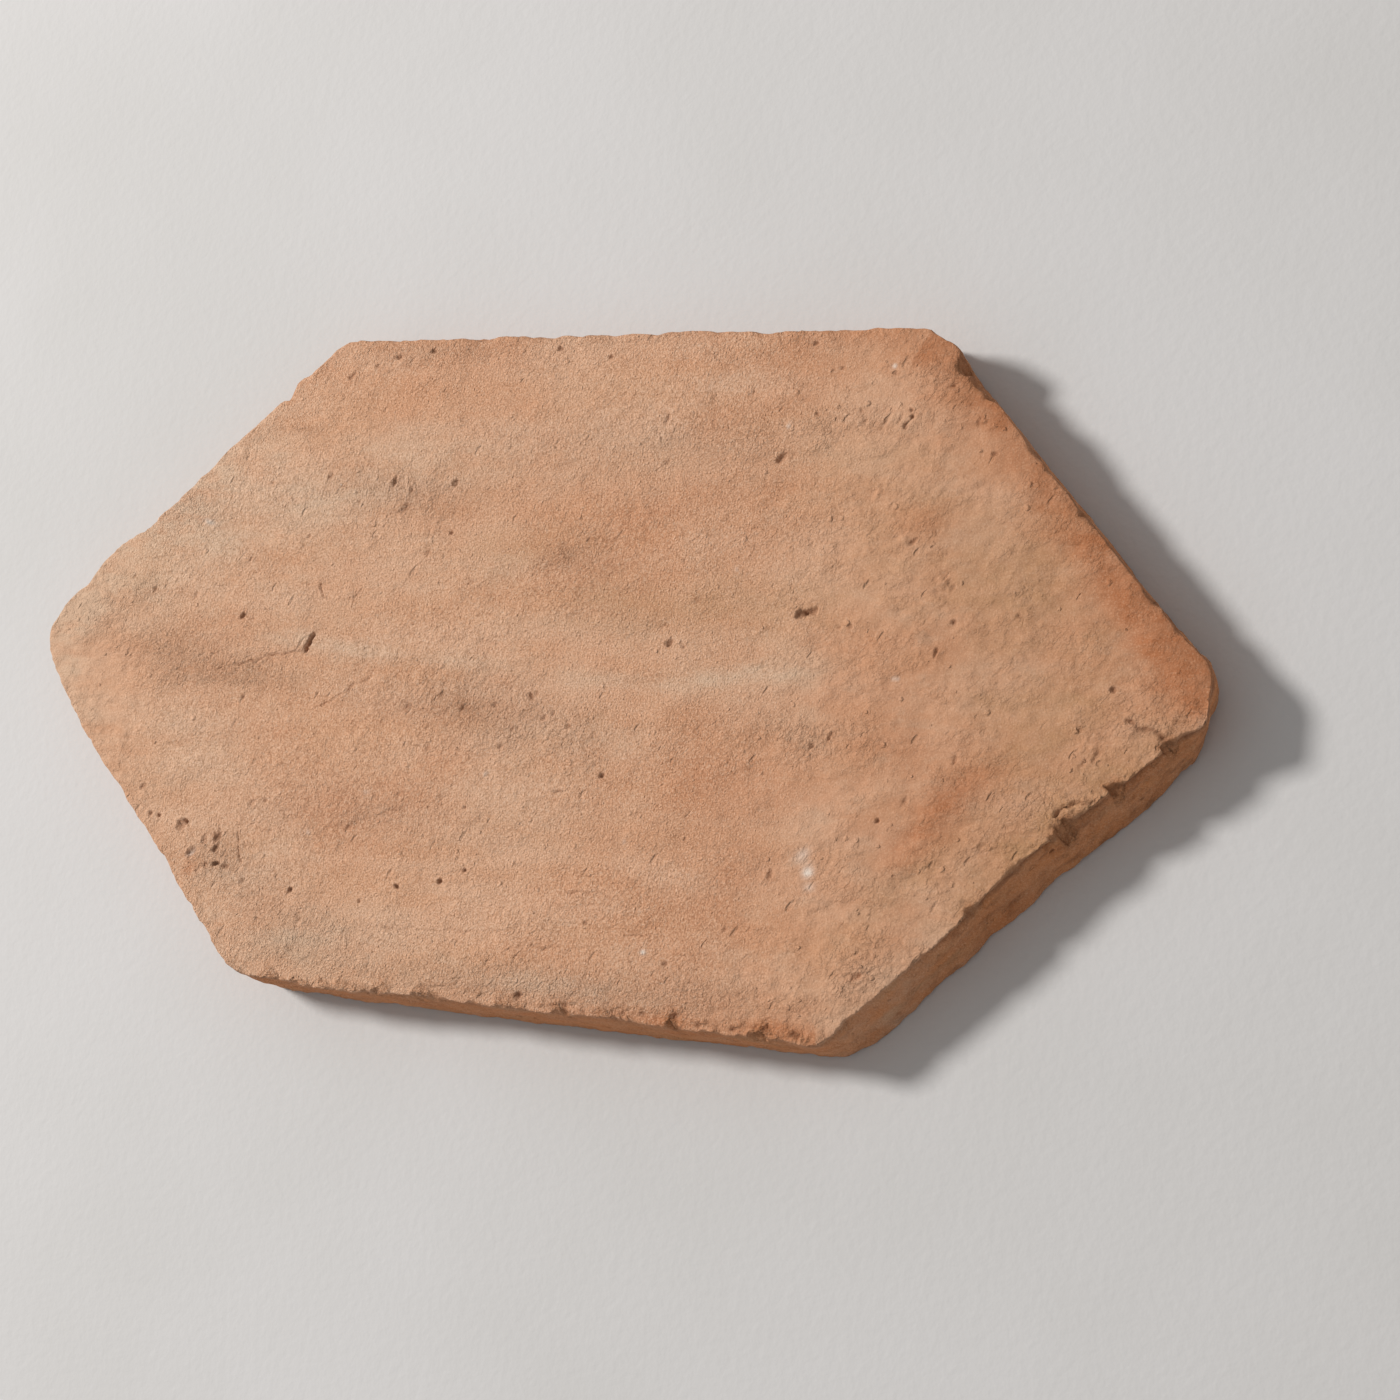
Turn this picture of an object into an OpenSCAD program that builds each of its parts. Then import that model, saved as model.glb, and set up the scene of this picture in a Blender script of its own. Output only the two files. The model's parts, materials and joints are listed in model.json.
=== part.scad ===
// Hand-made terracotta tile: a long hexagon with a right-angled point at each end.
// The body is a loft: a bed outline and a face outline, each a hexagon with worn corners, joined
// by knife-cut walls that lean a little, with rounded and bitten edges and a slightly hollow face.
// Origin on the flat bed, under the middle; +X along the length, +Z out of the worn face.
// All sizes in millimetres.

/* [Size] */
// Length over the two worn points
tile_length = 394; // [300:1:430]
// Width across the two long sides
tile_width = 199; // [150:1:215]
// Length of each long straight side, corner to corner
long_side = 200; // [140:1:215]
// Thickness over the high spots of the face
thickness = 19; // [13:0.5:30]

/* [Corners] */
// Radius the left point has worn to
left_point_radius = 16; // [6:0.5:22]
// Radius the right point has worn to, at the face
right_point_radius = 12; // [6:0.5:22]
// Radius of the right point down at the bed, where it was cut rounder
right_point_bed_radius = 20; // [6:0.5:24]
// Radius of the far left shoulder
far_left_radius = 14; // [6:0.5:26]
// Radius of the far right shoulder
far_right_radius = 9; // [6:0.5:26]
// Radius of the near left shoulder, the most worn of the four
near_left_radius = 24; // [6:0.5:28]
// Radius of the near right shoulder
near_right_radius = 17; // [6:0.5:26]
// How much of the hand-cut wander of the outline is kept, 1 being all of it
outline_wander = 1; // [0:0.1:1.5]
// How much of the lean of the cut walls is kept, 1 being all of it
wall_lean = 1; // [0:0.1:1.5]

/* [Edges] */
// Rounding of the face edge where nothing has broken away
face_edge_wear = 1.1; // [0.6:0.1:3]
// Rounding of the bed edge
bed_edge_wear = 1; // [0.5:0.1:3]
// How deep the bites in the face edge go, 1 being as listed
face_bites = 1; // [0.2:0.1:1.3]
// How deep the bites in the bed edge go, 1 being as listed
bed_bites = 1; // [0.2:0.1:1.4]

/* [Waves] */
// How far the long hollows of the face lie below its high spots
face_hollow = 0.9; // [0.2:0.1:2]
// How far the walls ripple in from straight where the wire dragged
wall_ripple = 0.5; // [0.1:0.1:1.6]

/* [Fineness] */
// Spacing of the points round the outline
outline_step = 3.4; // [3:0.1:8]

/* [Hidden] */

CLAY = [0.76, 0.57, 0.44];

half_long = long_side / 2;
half_wide = tile_width / 2;
half_length = tile_length / 2;

// Where a point's sharp corner has to be, so that its worn round ends at half the length.
function sharp_x(r, turns = 5, x = half_length) =
    turns == 0 ? x : sharp_x(r, turns - 1,
        half_length + r * (1 / sin(atan2(half_wide, x - half_long)) - 1));

// Corners of the face counter-clockwise from the right point, each with its hand-cut wander.
CORNERS = [
    [sharp_x(right_point_radius), 0] + outline_wander * [0, 1.2],
    [half_long, half_wide] + outline_wander * [2, 0.6],
    [-half_long, half_wide] + outline_wander * [-0.2, -0.2],
    [-sharp_x(left_point_radius), 0] + outline_wander * [0, 1.3],
    [-half_long, -half_wide] + outline_wander * [-0.4, 1.8],
    [half_long, -half_wide] + outline_wander * [-1.3, -0.8]
];
FACE_RADII = [right_point_radius, far_right_radius, far_left_radius,
              left_point_radius, near_left_radius, near_right_radius];
BED_RADII = [right_point_bed_radius, far_right_radius, far_left_radius,
             left_point_radius, near_left_radius, near_right_radius];
// How far each wall stands out at the bed, from the one that leaves the right point.
LEAN = [-2.6, -0.7, -0.9, -0.7, 1.5, 2.1];
NO_LEAN = [0, 0, 0, 0, 0, 0];

// Bulges and dips of each outline: side, share of the way along it, half its run, how far out.
FACE_WANDER = [
    [0, 0.92, 8, 2.1], [0, 0.32, 12, -0.4], [0, 0.8, 20, 0.5],
    [1, 0.38, 12, 0.4], [1, 0.64, 7, -0.5], [1, 0.14, 22, -0.3],
    [2, 0.14, 5, 1.1], [2, 0.715, 16, 2.1], [2, 0.36, 14, 0.3], [2, 0.85, 7, 0.9],
    [3, 0.09, 17, -2.2], [3, 0.36, 14, 0.6], [3, 0.59, 7, -0.6], [3, 0.76, 8, 0.4],
    [4, 0.3, 30, -0.2], [4, 0.75, 18, 0.15],
    [5, 0.13, 14, 0.7], [5, 0.5, 18, -1.5], [5, 0.83, 26, 1.6]
];
BED_WANDER = [
    [0, 0.3, 16, -0.5], [0, 0.7, 14, 0.4], [1, 0.3, 24, -0.5], [1, 0.75, 20, 0.4],
    [2, 0.25, 16, 0.5], [2, 0.715, 16, 1.6], [3, 0.1, 21, -1.8], [3, 0.6, 20, 0.6],
    [4, 0.1, 18, -0.7], [4, 0.45, 36, 0.3], [4, 0.97, 12, -0.3],
    [5, 0.12, 15, 1.1], [5, 0.3, 8, 0.3], [5, 0.37, 6, -0.6], [5, 0.46, 5, 0.3],
    [5, 0.53, 7, -0.9], [5, 0.74, 13, 0.4]
];

// Bites: side, share of the way along it, half its run, how far in, how far down.
FACE_BITES = [
    [0, 0.24, 5, 0.6, 1.5], [0, 0.46, 5, 0.7, 2], [0, 0.64, 5, 0.6, 1.5],
    [0, 0.82, 9, 0.9, 5], [0, 0.88, 4, 2.4, 8],
    [1, 0.12, 7, 0.3, 1.5], [1, 0.26, 4, 0.6, 1.5], [1, 0.62, 5, 0.4, 2.5], [1, 0.75, 6, 0.4, 2],
    [2, 0.175, 4, 1.2, 3], [2, 0.42, 4, 0.5, 2], [2, 0.615, 5, 0.9, 4],
    [3, 0.2, 7, 0.3, 2], [3, 0.46, 4, 0.5, 2], [3, 0.68, 5, 0.4, 2], [3, 0.87, 4, 0.8, 3],
    [4, 0.1, 6, 0.8, 2], [4, 0.26, 5, 0.9, 2], [4, 0.36, 7, 1.1, 2.2], [4, 0.5, 4, 0.7, 1.8],
    [4, 0.59, 4, 1.1, 2], [4, 0.69, 8, 0.9, 2], [4, 0.775, 3.2, 2, 2.6], [4, 0.91, 4, 1.9, 2.6],
    [5, 0.06, 5, 0.5, 1.4], [5, 0.24, 6, 0.5, 1.6], [5, 0.39, 4, 1.6, 3], [5, 0.5, 5, 0.7, 2],
    [5, 0.615, 6.5, 2.2, 6.5], [5, 0.735, 3.2, 3, 4], [5, 0.86, 3.6, 2.6, 4.5]
];
BED_BITES = [
    [0, 0, 14, 1, 6], [0, 0.5, 9, 0.8, 1.2], [0, 0.85, 10, 1, 1.6],
    [1, 0.25, 9, 0.8, 1.4], [1, 0.66, 12, 1, 1.5], [2, 0.35, 8, 0.8, 1.2], [2, 0.8, 7, 1, 1.4],
    [3, 0.3, 8, 1, 1.3], [3, 0.75, 9, 0.8, 1.4], [4, 0.22, 9, 0.5, 1.2], [4, 0.86, 8, 0.5, 1.2],
    [5, 0.335, 5, 0.5, 1.4], [5, 0.64, 5, 0.7, 2], [5, 0.9, 6, 1, 2.5]
];
// Spacing of the points on each wall against outline_step, closest on the most bitten.
STEP_SHARES = [1.2, 1.3, 1.2, 1.2, 0.72, 0.55];

function wrap(i) = (i + len(CORNERS)) % len(CORNERS);
function along(i) = CORNERS[wrap(i + 1)] - CORNERS[wrap(i)];
function unit(v) = v / norm(v);
function outward(i) = let (v = unit(along(i))) [v[1], -v[0]];
// Distance round the sharp hexagon at which side i starts.
function start_of(i) = i <= 0 ? 0 : start_of(i - 1) + norm(along(i - 1));
ROUND = start_of(len(CORNERS));

// Corner i after the two walls that meet there have moved out by their lean.
function leaned(i, lean) =
    let (n = outward(i - 1), m = outward(i), k = n * m, a = lean[wrap(i - 1)], b = lean[wrap(i)])
    CORNERS[wrap(i)] + (a - k * b) / (1 - k * k) * n + (b - k * a) / (1 - k * k) * m;
function turn_at(i) = acos(outward(i - 1) * outward(i));
function tangent_at(i, radii) = radii[wrap(i)] * tan(turn_at(i) / 2);

// Shortest way round between two distances, and a bump's height at a share of its half run.
function apart(a, b) = let (d = abs(a - b)) min(d, ROUND - d);
function swell(x) = x >= 1 ? 0 : pow(1 - x * x, 1.5);
function share_at(m, b) = apart(m, start_of(b[0]) + b[1] * norm(along(b[0]))) / b[2];
function wander(list, m) = let (all = [for (b = list) b[3] * swell(share_at(m, b))])
    outline_wander * (max(0, max(all)) + min(0, min(all)));
// Depth of the bites at distance m: column 3 is in, column 4 is down.
function bitten(list, m, column) = max([for (b = list) b[column] * swell(share_at(m, b))]);
function ripple(m, waves, lag) = 0.5 + 0.5 * sin(360 * waves * m / ROUND + lag);

// One outline as points: place, outward direction, distance round the sharp hexagon.
// The counts come from the face, so that the two outlines match point for point.
function arc_points(i, lean, radii) =
    let (r = radii[i], turn = turn_at(i), n0 = outward(i - 1), back = tangent_at(i, radii),
         hub = leaned(i, lean) - unit(along(i - 1)) * back - n0 * r, first = atan2(n0[1], n0[0]),
         n = max(4, ceil(FACE_RADII[i] * turn * PI / 180 / outline_step)))
    [for (j = [0 : n - 1]) let (a = first + turn * j / n, d = [cos(a), sin(a)])
        [hub + r * d, d, start_of(i) + back * (2 * j / n - 1)]];
function side_points(i, lean, radii) =
    let (v = unit(along(i)), a = leaned(i, lean) + v * tangent_at(i, radii),
         b = leaned(i + 1, lean) - v * tangent_at(i + 1, radii),
         m0 = start_of(i) + tangent_at(i, radii),
         m1 = start_of(i) + norm(along(i)) - tangent_at(i + 1, radii),
         free = norm(along(i)) - tangent_at(i, FACE_RADII) - tangent_at(i + 1, FACE_RADII),
         n = ceil(free / outline_step / STEP_SHARES[i]))
    [for (j = [0 : n - 1]) [a + (b - a) * j / n, outward(i), m0 + (m1 - m0) * j / n]];
function outline(lean, radii, bulges) = [for (i = [0 : len(CORNERS) - 1])
    each [for (q = concat(arc_points(i, lean, radii), side_points(i, lean, radii)))
        [q[0] + q[1] * wander(bulges, q[2]), q[1], q[2]]]];

FACE_OUTLINE = outline(NO_LEAN, FACE_RADII, FACE_WANDER);
BED_OUTLINE = outline(wall_lean * LEAN, BED_RADII, BED_WANDER);
LAST = len(FACE_OUTLINE) - 1;

// Height of the face: broad hollows between strokes of the levelling board.
function face_z(p) = thickness - face_hollow * (0.5 + 0.22 * sin(0.95 * p[0] + 35) * cos(1.7 * p[1] - 15)
    + 0.28 * sin(0.5 * p[0] - 2.4 * p[1] + 80));

// A point on the wall at height z, worn in square to the wall and bitten in towards the middle.
function on_wall(j, z, wear, bite = 0) =
    let (f = FACE_OUTLINE[j], b = BED_OUTLINE[j], h = z / thickness,
         p = b[0] + (f[0] - b[0]) * h - f[1] * wear - f[0] / (f[0] * f[1]) * bite)
    [p[0], p[1], z];
function wall_in(m, h) = wall_ripple * (0.5 * ripple(m + 30 * h, 17, 140) + 0.5 * ripple(m - 40 * h, 11, 60));

function edge_down(m) =
    face_edge_wear * (0.75 + 0.25 * ripple(m, 19, 200)) + face_bites * bitten(FACE_BITES, m, 4);
function edge_in(m) = face_edge_wear * (0.75 + 0.25 * ripple(m, 23, 90));
function bite_in(m) = face_bites * bitten(FACE_BITES, m, 3);
function bed_up(m) = bed_edge_wear + bed_bites * bitten(BED_BITES, m, 4);
function bed_in(m) = bed_edge_wear + bed_bites * bitten(BED_BITES, m, 3);
// A whole edge rounds outward, and a bite scoops inward: 0 to 1.
function scooped(m) = min(1, bite_in(m) / 2);

// Rings from the bed edge up the wall, round the face edge and in over the face.
function bed_ring(turn) = [for (j = [0 : LAST]) let (m = FACE_OUTLINE[j][2])
    on_wall(j, bed_up(m) * (1 - cos(turn)), wall_in(m, 0) + bed_in(m) * (1 - sin(turn)))];
function wall_ring(h) = [for (j = [0 : LAST])
    let (m = FACE_OUTLINE[j][2], low = bed_up(m), high = face_z(FACE_OUTLINE[j][0]) - edge_down(m))
    on_wall(j, low + (high - low) * h, wall_in(m, h))];
function edge_ring(turn) = [for (j = [0 : LAST])
    let (m = FACE_OUTLINE[j][2], g = scooped(m), d = edge_down(m),
         z = face_z(FACE_OUTLINE[j][0]) - d * ((1 - g) * (1 - sin(turn)) + g * cos(turn)),
         inward = (1 - g) * (1 - cos(turn)) + g * sin(turn))
    on_wall(j, z, wall_in(m, 1) + edge_in(m) * inward, bite_in(m) * inward)];
function drawn_in_ring(share) = [for (q = FACE_OUTLINE)
    let (p = share * q[0]) [p[0], p[1], face_z(p)]];

RINGS = [
    bed_ring(0), bed_ring(45), wall_ring(0), wall_ring(0.5),
    edge_ring(0), edge_ring(25), edge_ring(50), edge_ring(75), edge_ring(90),
    drawn_in_ring(0.9), drawn_in_ring(0.76), drawn_in_ring(0.54), drawn_in_ring(0.33), drawn_in_ring(0.15)
];

// Each ring is joined to the next by two triangles a point, and a hub closes each end.
BODY_POINTS = concat([for (ring = RINGS) each ring], [[3, 2, 0], [0, 0, face_z([0, 0])]]);
function at(k, j) = k * (LAST + 1) + j % (LAST + 1);
BED_HUB = len(RINGS) * (LAST + 1);
FACE_HUB = BED_HUB + 1;
BODY_FACES = concat(
    [for (j = [0 : LAST]) [BED_HUB, at(0, j), at(0, j + 1)]],
    [for (k = [0 : len(RINGS) - 2], j = [0 : LAST]) [at(k, j), at(k + 1, j), at(k + 1, j + 1)]],
    [for (k = [0 : len(RINGS) - 2], j = [0 : LAST]) [at(k, j), at(k + 1, j + 1), at(k, j + 1)]],
    [for (j = [0 : LAST]) [FACE_HUB, at(len(RINGS) - 1, j + 1), at(len(RINGS) - 1, j)]]
);

// The wander and the bites shift the middle a little, so the body is drawn back over the origin.
XS = [for (p = BODY_POINTS) p[0]];
YS = [for (p = BODY_POINTS) p[1]];
MIDDLE = [(min(XS) + max(XS)) / 2, (min(YS) + max(YS)) / 2, 0];

module tile() {
    color(CLAY)
        translate(-MIDDLE)
            polyhedron(points = BODY_POINTS, faces = BODY_FACES, convexity = 4);
}

tile();
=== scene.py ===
"""A hand-made terracotta tile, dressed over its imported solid.

The tile is one body of fired clay. Its outline, lean, edge wear and bites follow the same named
sizes as the solid, and the worn face, the crumbled edges and the finish are added here.
Sizes are in millimetres until a mesh is made; Blender's objects are in metres.
"""

import json
import logging
import math
from dataclasses import dataclass, field
from enum import Enum, IntEnum, StrEnum, auto

import bpy
import numpy as np
from mathutils import Matrix, Vector
from mathutils.geometry import delaunay_2d_cdt

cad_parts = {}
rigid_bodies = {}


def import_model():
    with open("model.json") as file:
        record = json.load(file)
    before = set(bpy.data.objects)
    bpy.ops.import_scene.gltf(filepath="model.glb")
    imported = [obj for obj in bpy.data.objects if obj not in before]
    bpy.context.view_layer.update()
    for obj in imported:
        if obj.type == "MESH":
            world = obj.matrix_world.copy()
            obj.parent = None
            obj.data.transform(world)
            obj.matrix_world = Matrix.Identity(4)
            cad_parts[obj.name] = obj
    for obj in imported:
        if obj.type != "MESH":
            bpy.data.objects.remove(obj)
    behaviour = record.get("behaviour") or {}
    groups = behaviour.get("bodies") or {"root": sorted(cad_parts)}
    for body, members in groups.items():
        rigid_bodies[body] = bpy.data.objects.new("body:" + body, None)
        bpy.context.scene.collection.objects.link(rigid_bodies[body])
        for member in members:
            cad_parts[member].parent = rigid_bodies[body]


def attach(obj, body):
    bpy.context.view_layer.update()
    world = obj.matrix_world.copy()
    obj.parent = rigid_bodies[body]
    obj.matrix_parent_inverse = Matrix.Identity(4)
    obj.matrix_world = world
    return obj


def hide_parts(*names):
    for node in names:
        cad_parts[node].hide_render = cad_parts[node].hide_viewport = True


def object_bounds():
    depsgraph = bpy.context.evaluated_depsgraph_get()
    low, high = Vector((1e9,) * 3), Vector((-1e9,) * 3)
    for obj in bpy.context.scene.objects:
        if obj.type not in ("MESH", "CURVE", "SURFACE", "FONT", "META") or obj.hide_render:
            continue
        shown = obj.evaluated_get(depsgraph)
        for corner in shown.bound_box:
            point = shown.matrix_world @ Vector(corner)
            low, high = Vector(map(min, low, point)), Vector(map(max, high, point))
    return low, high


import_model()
CAD_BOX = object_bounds()

Array = np.ndarray
Sizes = tuple[float, ...]
Piece, Material = bpy.types.Object, bpy.types.Material
Tree, Node, Output = bpy.types.NodeTree, bpy.types.Node, bpy.types.NodeSocket

LOG = logging.getLogger("tile")
MM = 0.001
THICKNESS = 19.0
SIDES = 6


# ---- plain helpers


def colour(red: int, green: int, blue: int) -> Sizes:
    """Turn a colour as a dyer would write it, 0 to 255 a channel, into a linear one.

    Args:
        red: The red part.
        green: The green part.
        blue: The blue part.

    Returns:
        Linear red, green and blue, and an alpha of one.
    """
    parts = []
    for part in (red, green, blue):
        share = part / 255
        parts.append(share / 12.92 if share <= 0.04045 else ((share + 0.055) / 1.055) ** 2.4)
    return (parts[0], parts[1], parts[2], 1.0)


def many(kind: type, *rows: tuple) -> tuple:
    """Make one of a kind from each row of its values."""
    return tuple(kind(*row) for row in rows)


def hang(name: str, data: bpy.types.ID) -> Piece:
    """Make an object of a mesh, lamp or camera, and put it in the scene."""
    made = bpy.data.objects.new(name, data)
    bpy.context.scene.collection.objects.link(made)
    return made


def swell(share: Array) -> Array:
    """A rounded hump over a share of its half run: one in the middle, nothing from one on."""
    return np.clip(1 - share * share, 0, 1) ** 1.5


def smooth(low: float, high: float, value: Array) -> Array:
    """Ease from nothing at low to one at high."""
    t = np.clip((value - low) / (high - low), 0, 1)
    return t * t * (3 - 2 * t)


@dataclass(frozen=True)
class Grain:
    """Smooth hilly noise over a plane, the same on every run."""

    seed: int

    def corner(self, i: Array, j: Array) -> Array:
        """Draw a number for each lattice corner.

        Args:
            i: The corner's column.
            j: Its row.

        Returns:
            An angle, 0 to a full turn.
        """
        mask = np.uint64(0xFFFFFFFF)
        mix = (i.astype(np.int64).astype(np.uint64) * np.uint64(374761393)
               + j.astype(np.int64).astype(np.uint64) * np.uint64(668265263)
               + np.uint64(self.seed * 2246822519 & 0xFFFFFFFF)) & mask
        mix = ((mix ^ (mix >> np.uint64(13))) * np.uint64(1274126177)) & mask
        mix = (mix ^ (mix >> np.uint64(16))) & mask
        return mix.astype(float) * (2 * math.pi / 2 ** 32)

    def at(self, x: Array, y: Array | float) -> Array:
        """Read the noise.

        Args:
            x: Places along the first direction, one hill to a unit.
            y: Places along the second, or one place for them all.

        Returns:
            A height for each place, about -1 to 1.
        """
        x, y = np.broadcast_arrays(x, y)
        x0, y0 = np.floor(x), np.floor(y)
        u, v = x - x0, y - y0
        total = np.zeros(x.shape)
        fade_u = u * u * u * (u * (u * 6 - 15) + 10)
        fade_v = v * v * v * (v * (v * 6 - 15) + 10)
        for di in (0, 1):
            for dj in (0, 1):
                turn = self.corner(x0 + di, y0 + dj)
                slope = np.cos(turn) * (u - di) + np.sin(turn) * (v - dj)
                total += slope * (fade_u if di else 1 - fade_u) * (fade_v if dj else 1 - fade_v)
        return total * 1.5

    def layered(self, x: Array, y: Array | float, layers: int = 3,
                keep: float = 0.5) -> Array:
        """Add finer and finer hills together.

        Args:
            x: Places along the first direction.
            y: Places along the second, or one place for them all.
            layers: How many sizes of hill.
            keep: How high each finer layer is against the last.

        Returns:
            A height for each place, about -1.5 to 1.5.
        """
        total, high = 0.0, 1.0
        for layer in range(layers):
            size = 2.03 ** layer
            total = total + high * self.at(x * size + 17.3 * layer, y * size - 9.1 * layer)
            high *= keep
        return total

    def chips(self, along: Array, run: float, row: float = 0.0) -> Array:
        """Depths that hold for a chip's run and then step to the next, 0 to 1.

        Args:
            along: Places along an edge.
            run: The usual length of a chip.
            row: Which line of the noise to read.

        Returns:
            A depth for each place.
        """
        place = along / run + 0.45 * self.at(along / (2.7 * run), row + 3.7)
        cell, line = np.floor(place), np.full(len(along), row)
        here, ahead = (self.corner(cell + i, line) / (2 * math.pi) for i in (0, 1))
        return here + (ahead - here) * smooth(0.72, 1.0, place - cell)


# ---- the outline


class Side(IntEnum):
    """The six cut walls, counter-clockwise from the right point."""

    FAR_RIGHT = 0
    FAR = 1
    FAR_LEFT = 2
    NEAR_LEFT = 3
    NEAR = 4
    NEAR_RIGHT = 5


FR, FA, FL, NL, NE, NR = Side


@dataclass(frozen=True)
class Bulge:
    """A bulge or dip of a wall: where along it, half its run and how far it stands out."""

    side: Side
    share: float
    half_run: float
    out: float


@dataclass(frozen=True)
class Bite:
    """A piece broken from an edge: where, half its run, how deep in and how far down."""

    side: Side
    share: float
    half_run: float
    deep: float
    down: float


@dataclass(frozen=True)
class Chip:
    """A piece gone from an edge, by its distance round the outline in place of its wall."""

    place: float
    half_run: float
    deep: float
    down: float


@dataclass(frozen=True)
class Pock:
    """A pit in a wall: where along it, how high up, how far across and how deep."""

    side: Side
    share: float
    high: float
    radius: float
    deep: float


@dataclass
class Trace:
    """The outline as points: at the face, at the bed, their outward direction and distance round."""

    face: Array
    bed: Array
    out: Array
    around: Array
    side: Array


@dataclass
class CutOutline:
    """The long hexagon as it was cut: its sizes, worn corners, leaning walls and bulges."""

    length: float = 394.0
    width: float = 199.0
    long_side: float = 200.0
    corners_off: tuple[Sizes, ...] = (
        (0, 1.2), (2, 0.6), (-0.2, -0.2), (0, 1.3), (-0.4, 1.8), (-1.3, -0.8))
    face_radii: Sizes = (12, 9, 14, 16, 24, 17)
    bed_radii: Sizes = (20, 9, 14, 16, 24, 17)
    lean: Sizes = (-2.6, -0.7, -0.9, -0.7, 1.5, 2.1)
    fewest_on_corner: int = 8
    face_bulges: tuple[Bulge, ...] = many(Bulge, *(
        (FR, 0.92, 8, 2.1), (FR, 0.32, 12, -0.4), (FR, 0.8, 20, 0.5), (FA, 0.38, 12, 0.4),
        (FA, 0.64, 7, -0.5), (FA, 0.14, 22, -0.3), (FL, 0.14, 5, 1.1), (FL, 0.715, 16, 2.1),
        (FL, 0.36, 14, 0.3), (FL, 0.85, 7, 0.9), (NL, 0.09, 17, -2.2), (NL, 0.36, 14, 0.6),
        (NL, 0.59, 7, -0.6), (NL, 0.76, 8, 0.4), (NE, 0.3, 30, -0.2), (NE, 0.75, 18, 0.15),
        (NR, 0.13, 14, 0.7), (NR, 0.5, 18, -1.5), (NR, 0.83, 26, 1.6), (NR, 0.928, 9, 3.1),
        (NR, 0.22, 30, 0.8), (FR, 0.03, 15, 1.2), (NE, 0.19, 24, 1.3), (NR, 0.01, 12, 1.6),
    ))
    bed_bulges: tuple[Bulge, ...] = many(Bulge, *(
        (FR, 0.3, 16, -0.5), (FR, 0.7, 14, 0.4), (FA, 0.3, 24, -0.5), (FA, 0.75, 20, 0.4),
        (FL, 0.25, 16, 0.5), (FL, 0.715, 16, 1.6), (NL, 0.1, 21, -1.8), (NL, 0.6, 20, 0.6),
        (NE, 0.1, 18, -0.7), (NE, 0.45, 36, 0.3), (NE, 0.97, 12, -0.3), (NR, 0.12, 15, 1.1),
        (NR, 0.3, 8, 0.3), (NR, 0.37, 6, -0.6), (NR, 0.46, 5, 0.3), (NR, 0.53, 7, -0.9), (NR, 0.74, 13, 0.4),
        (NR, 0.95, 13, -2),
    ))
    corners: Array = field(init=False)
    starts: Array = field(init=False)

    def __post_init__(self) -> None:
        """Set out the six sharp corners and where each wall starts on the way round."""
        long, wide = self.long_side / 2, self.width / 2
        right, left = self.sharp_end(self.face_radii[0]), self.sharp_end(self.face_radii[3])
        self.corners = np.array([(right, 0), (long, wide), (-long, wide),
                                 (-left, 0), (-long, -wide), (long, -wide)]) + self.corners_off
        runs = [np.linalg.norm(self.along(i)) for i in range(SIDES)]
        self.starts = np.concatenate([[0.0], np.cumsum(runs)])

    def sharp_end(self, radius: float) -> float:
        """Find where a point's sharp corner lies, so that its worn round ends at half the length.

        Args:
            radius: The worn round's radius.

        Returns:
            The sharp corner's distance from the middle.
        """
        half_long, half_wide, half_length = self.long_side / 2, self.width / 2, self.length / 2
        x = half_length
        for _ in range(5):
            x = half_length + radius * (1 / math.sin(math.atan2(half_wide, x - half_long)) - 1)
        return x

    def along(self, i: int) -> Array:
        """The run of wall i, from its first corner to its second."""
        return self.corners[(i + 1) % SIDES] - self.corners[i % SIDES]

    def heading(self, i: int) -> Array:
        """The direction of wall i, one long."""
        run = self.along(i)
        return run / np.linalg.norm(run)

    def outward(self, i: int) -> Array:
        """The direction out of wall i."""
        way = self.heading(i)
        return np.array([way[1], -way[0]])

    def leaned(self, i: int, lean: Sizes) -> Array:
        """Find corner i once its two walls have moved out by their lean.

        Args:
            i: Which corner.
            lean: How far each wall moves out.

        Returns:
            The moved corner.
        """
        n, m = self.outward(i - 1), self.outward(i)
        k, a, b = float(n @ m), lean[(i - 1) % SIDES], lean[i % SIDES]
        return self.corners[i % SIDES] + (a - k * b) / (1 - k * k) * n + (b - k * a) / (1 - k * k) * m

    def turn(self, i: int) -> float:
        """How far the outline turns at corner i, in radians."""
        return math.acos(float(self.outward(i - 1) @ self.outward(i)))

    def tangent(self, i: int, radii: Sizes) -> float:
        """How far from the sharp corner i its round starts."""
        return radii[i % SIDES] * math.tan(self.turn(i) / 2)

    def apart(self, around: Array, place: float) -> Array:
        """The shorter way round between each point and a place."""
        gap = np.abs(around - place) % self.starts[SIDES]
        return np.minimum(gap, self.starts[SIDES] - gap)

    def place(self, side: Side, share: float) -> float:
        """The distance round at a share of the way along a wall."""
        return self.starts[side] + share * (self.starts[side + 1] - self.starts[side])

    def bulged(self, bulges: tuple[Bulge, ...], around: Array) -> Array:
        """How far the bulges and dips move each point out.

        Args:
            bulges: The bulges and dips.
            around: Distances round.

        Returns:
            The distance out at each point.
        """
        out, dip = np.zeros(len(around)), np.zeros(len(around))
        for b in bulges:
            move = b.out * swell(self.apart(around, self.place(b.side, b.share)) / b.half_run)
            out, dip = np.maximum(out, move), np.minimum(dip, move)
        return out + dip

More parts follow.
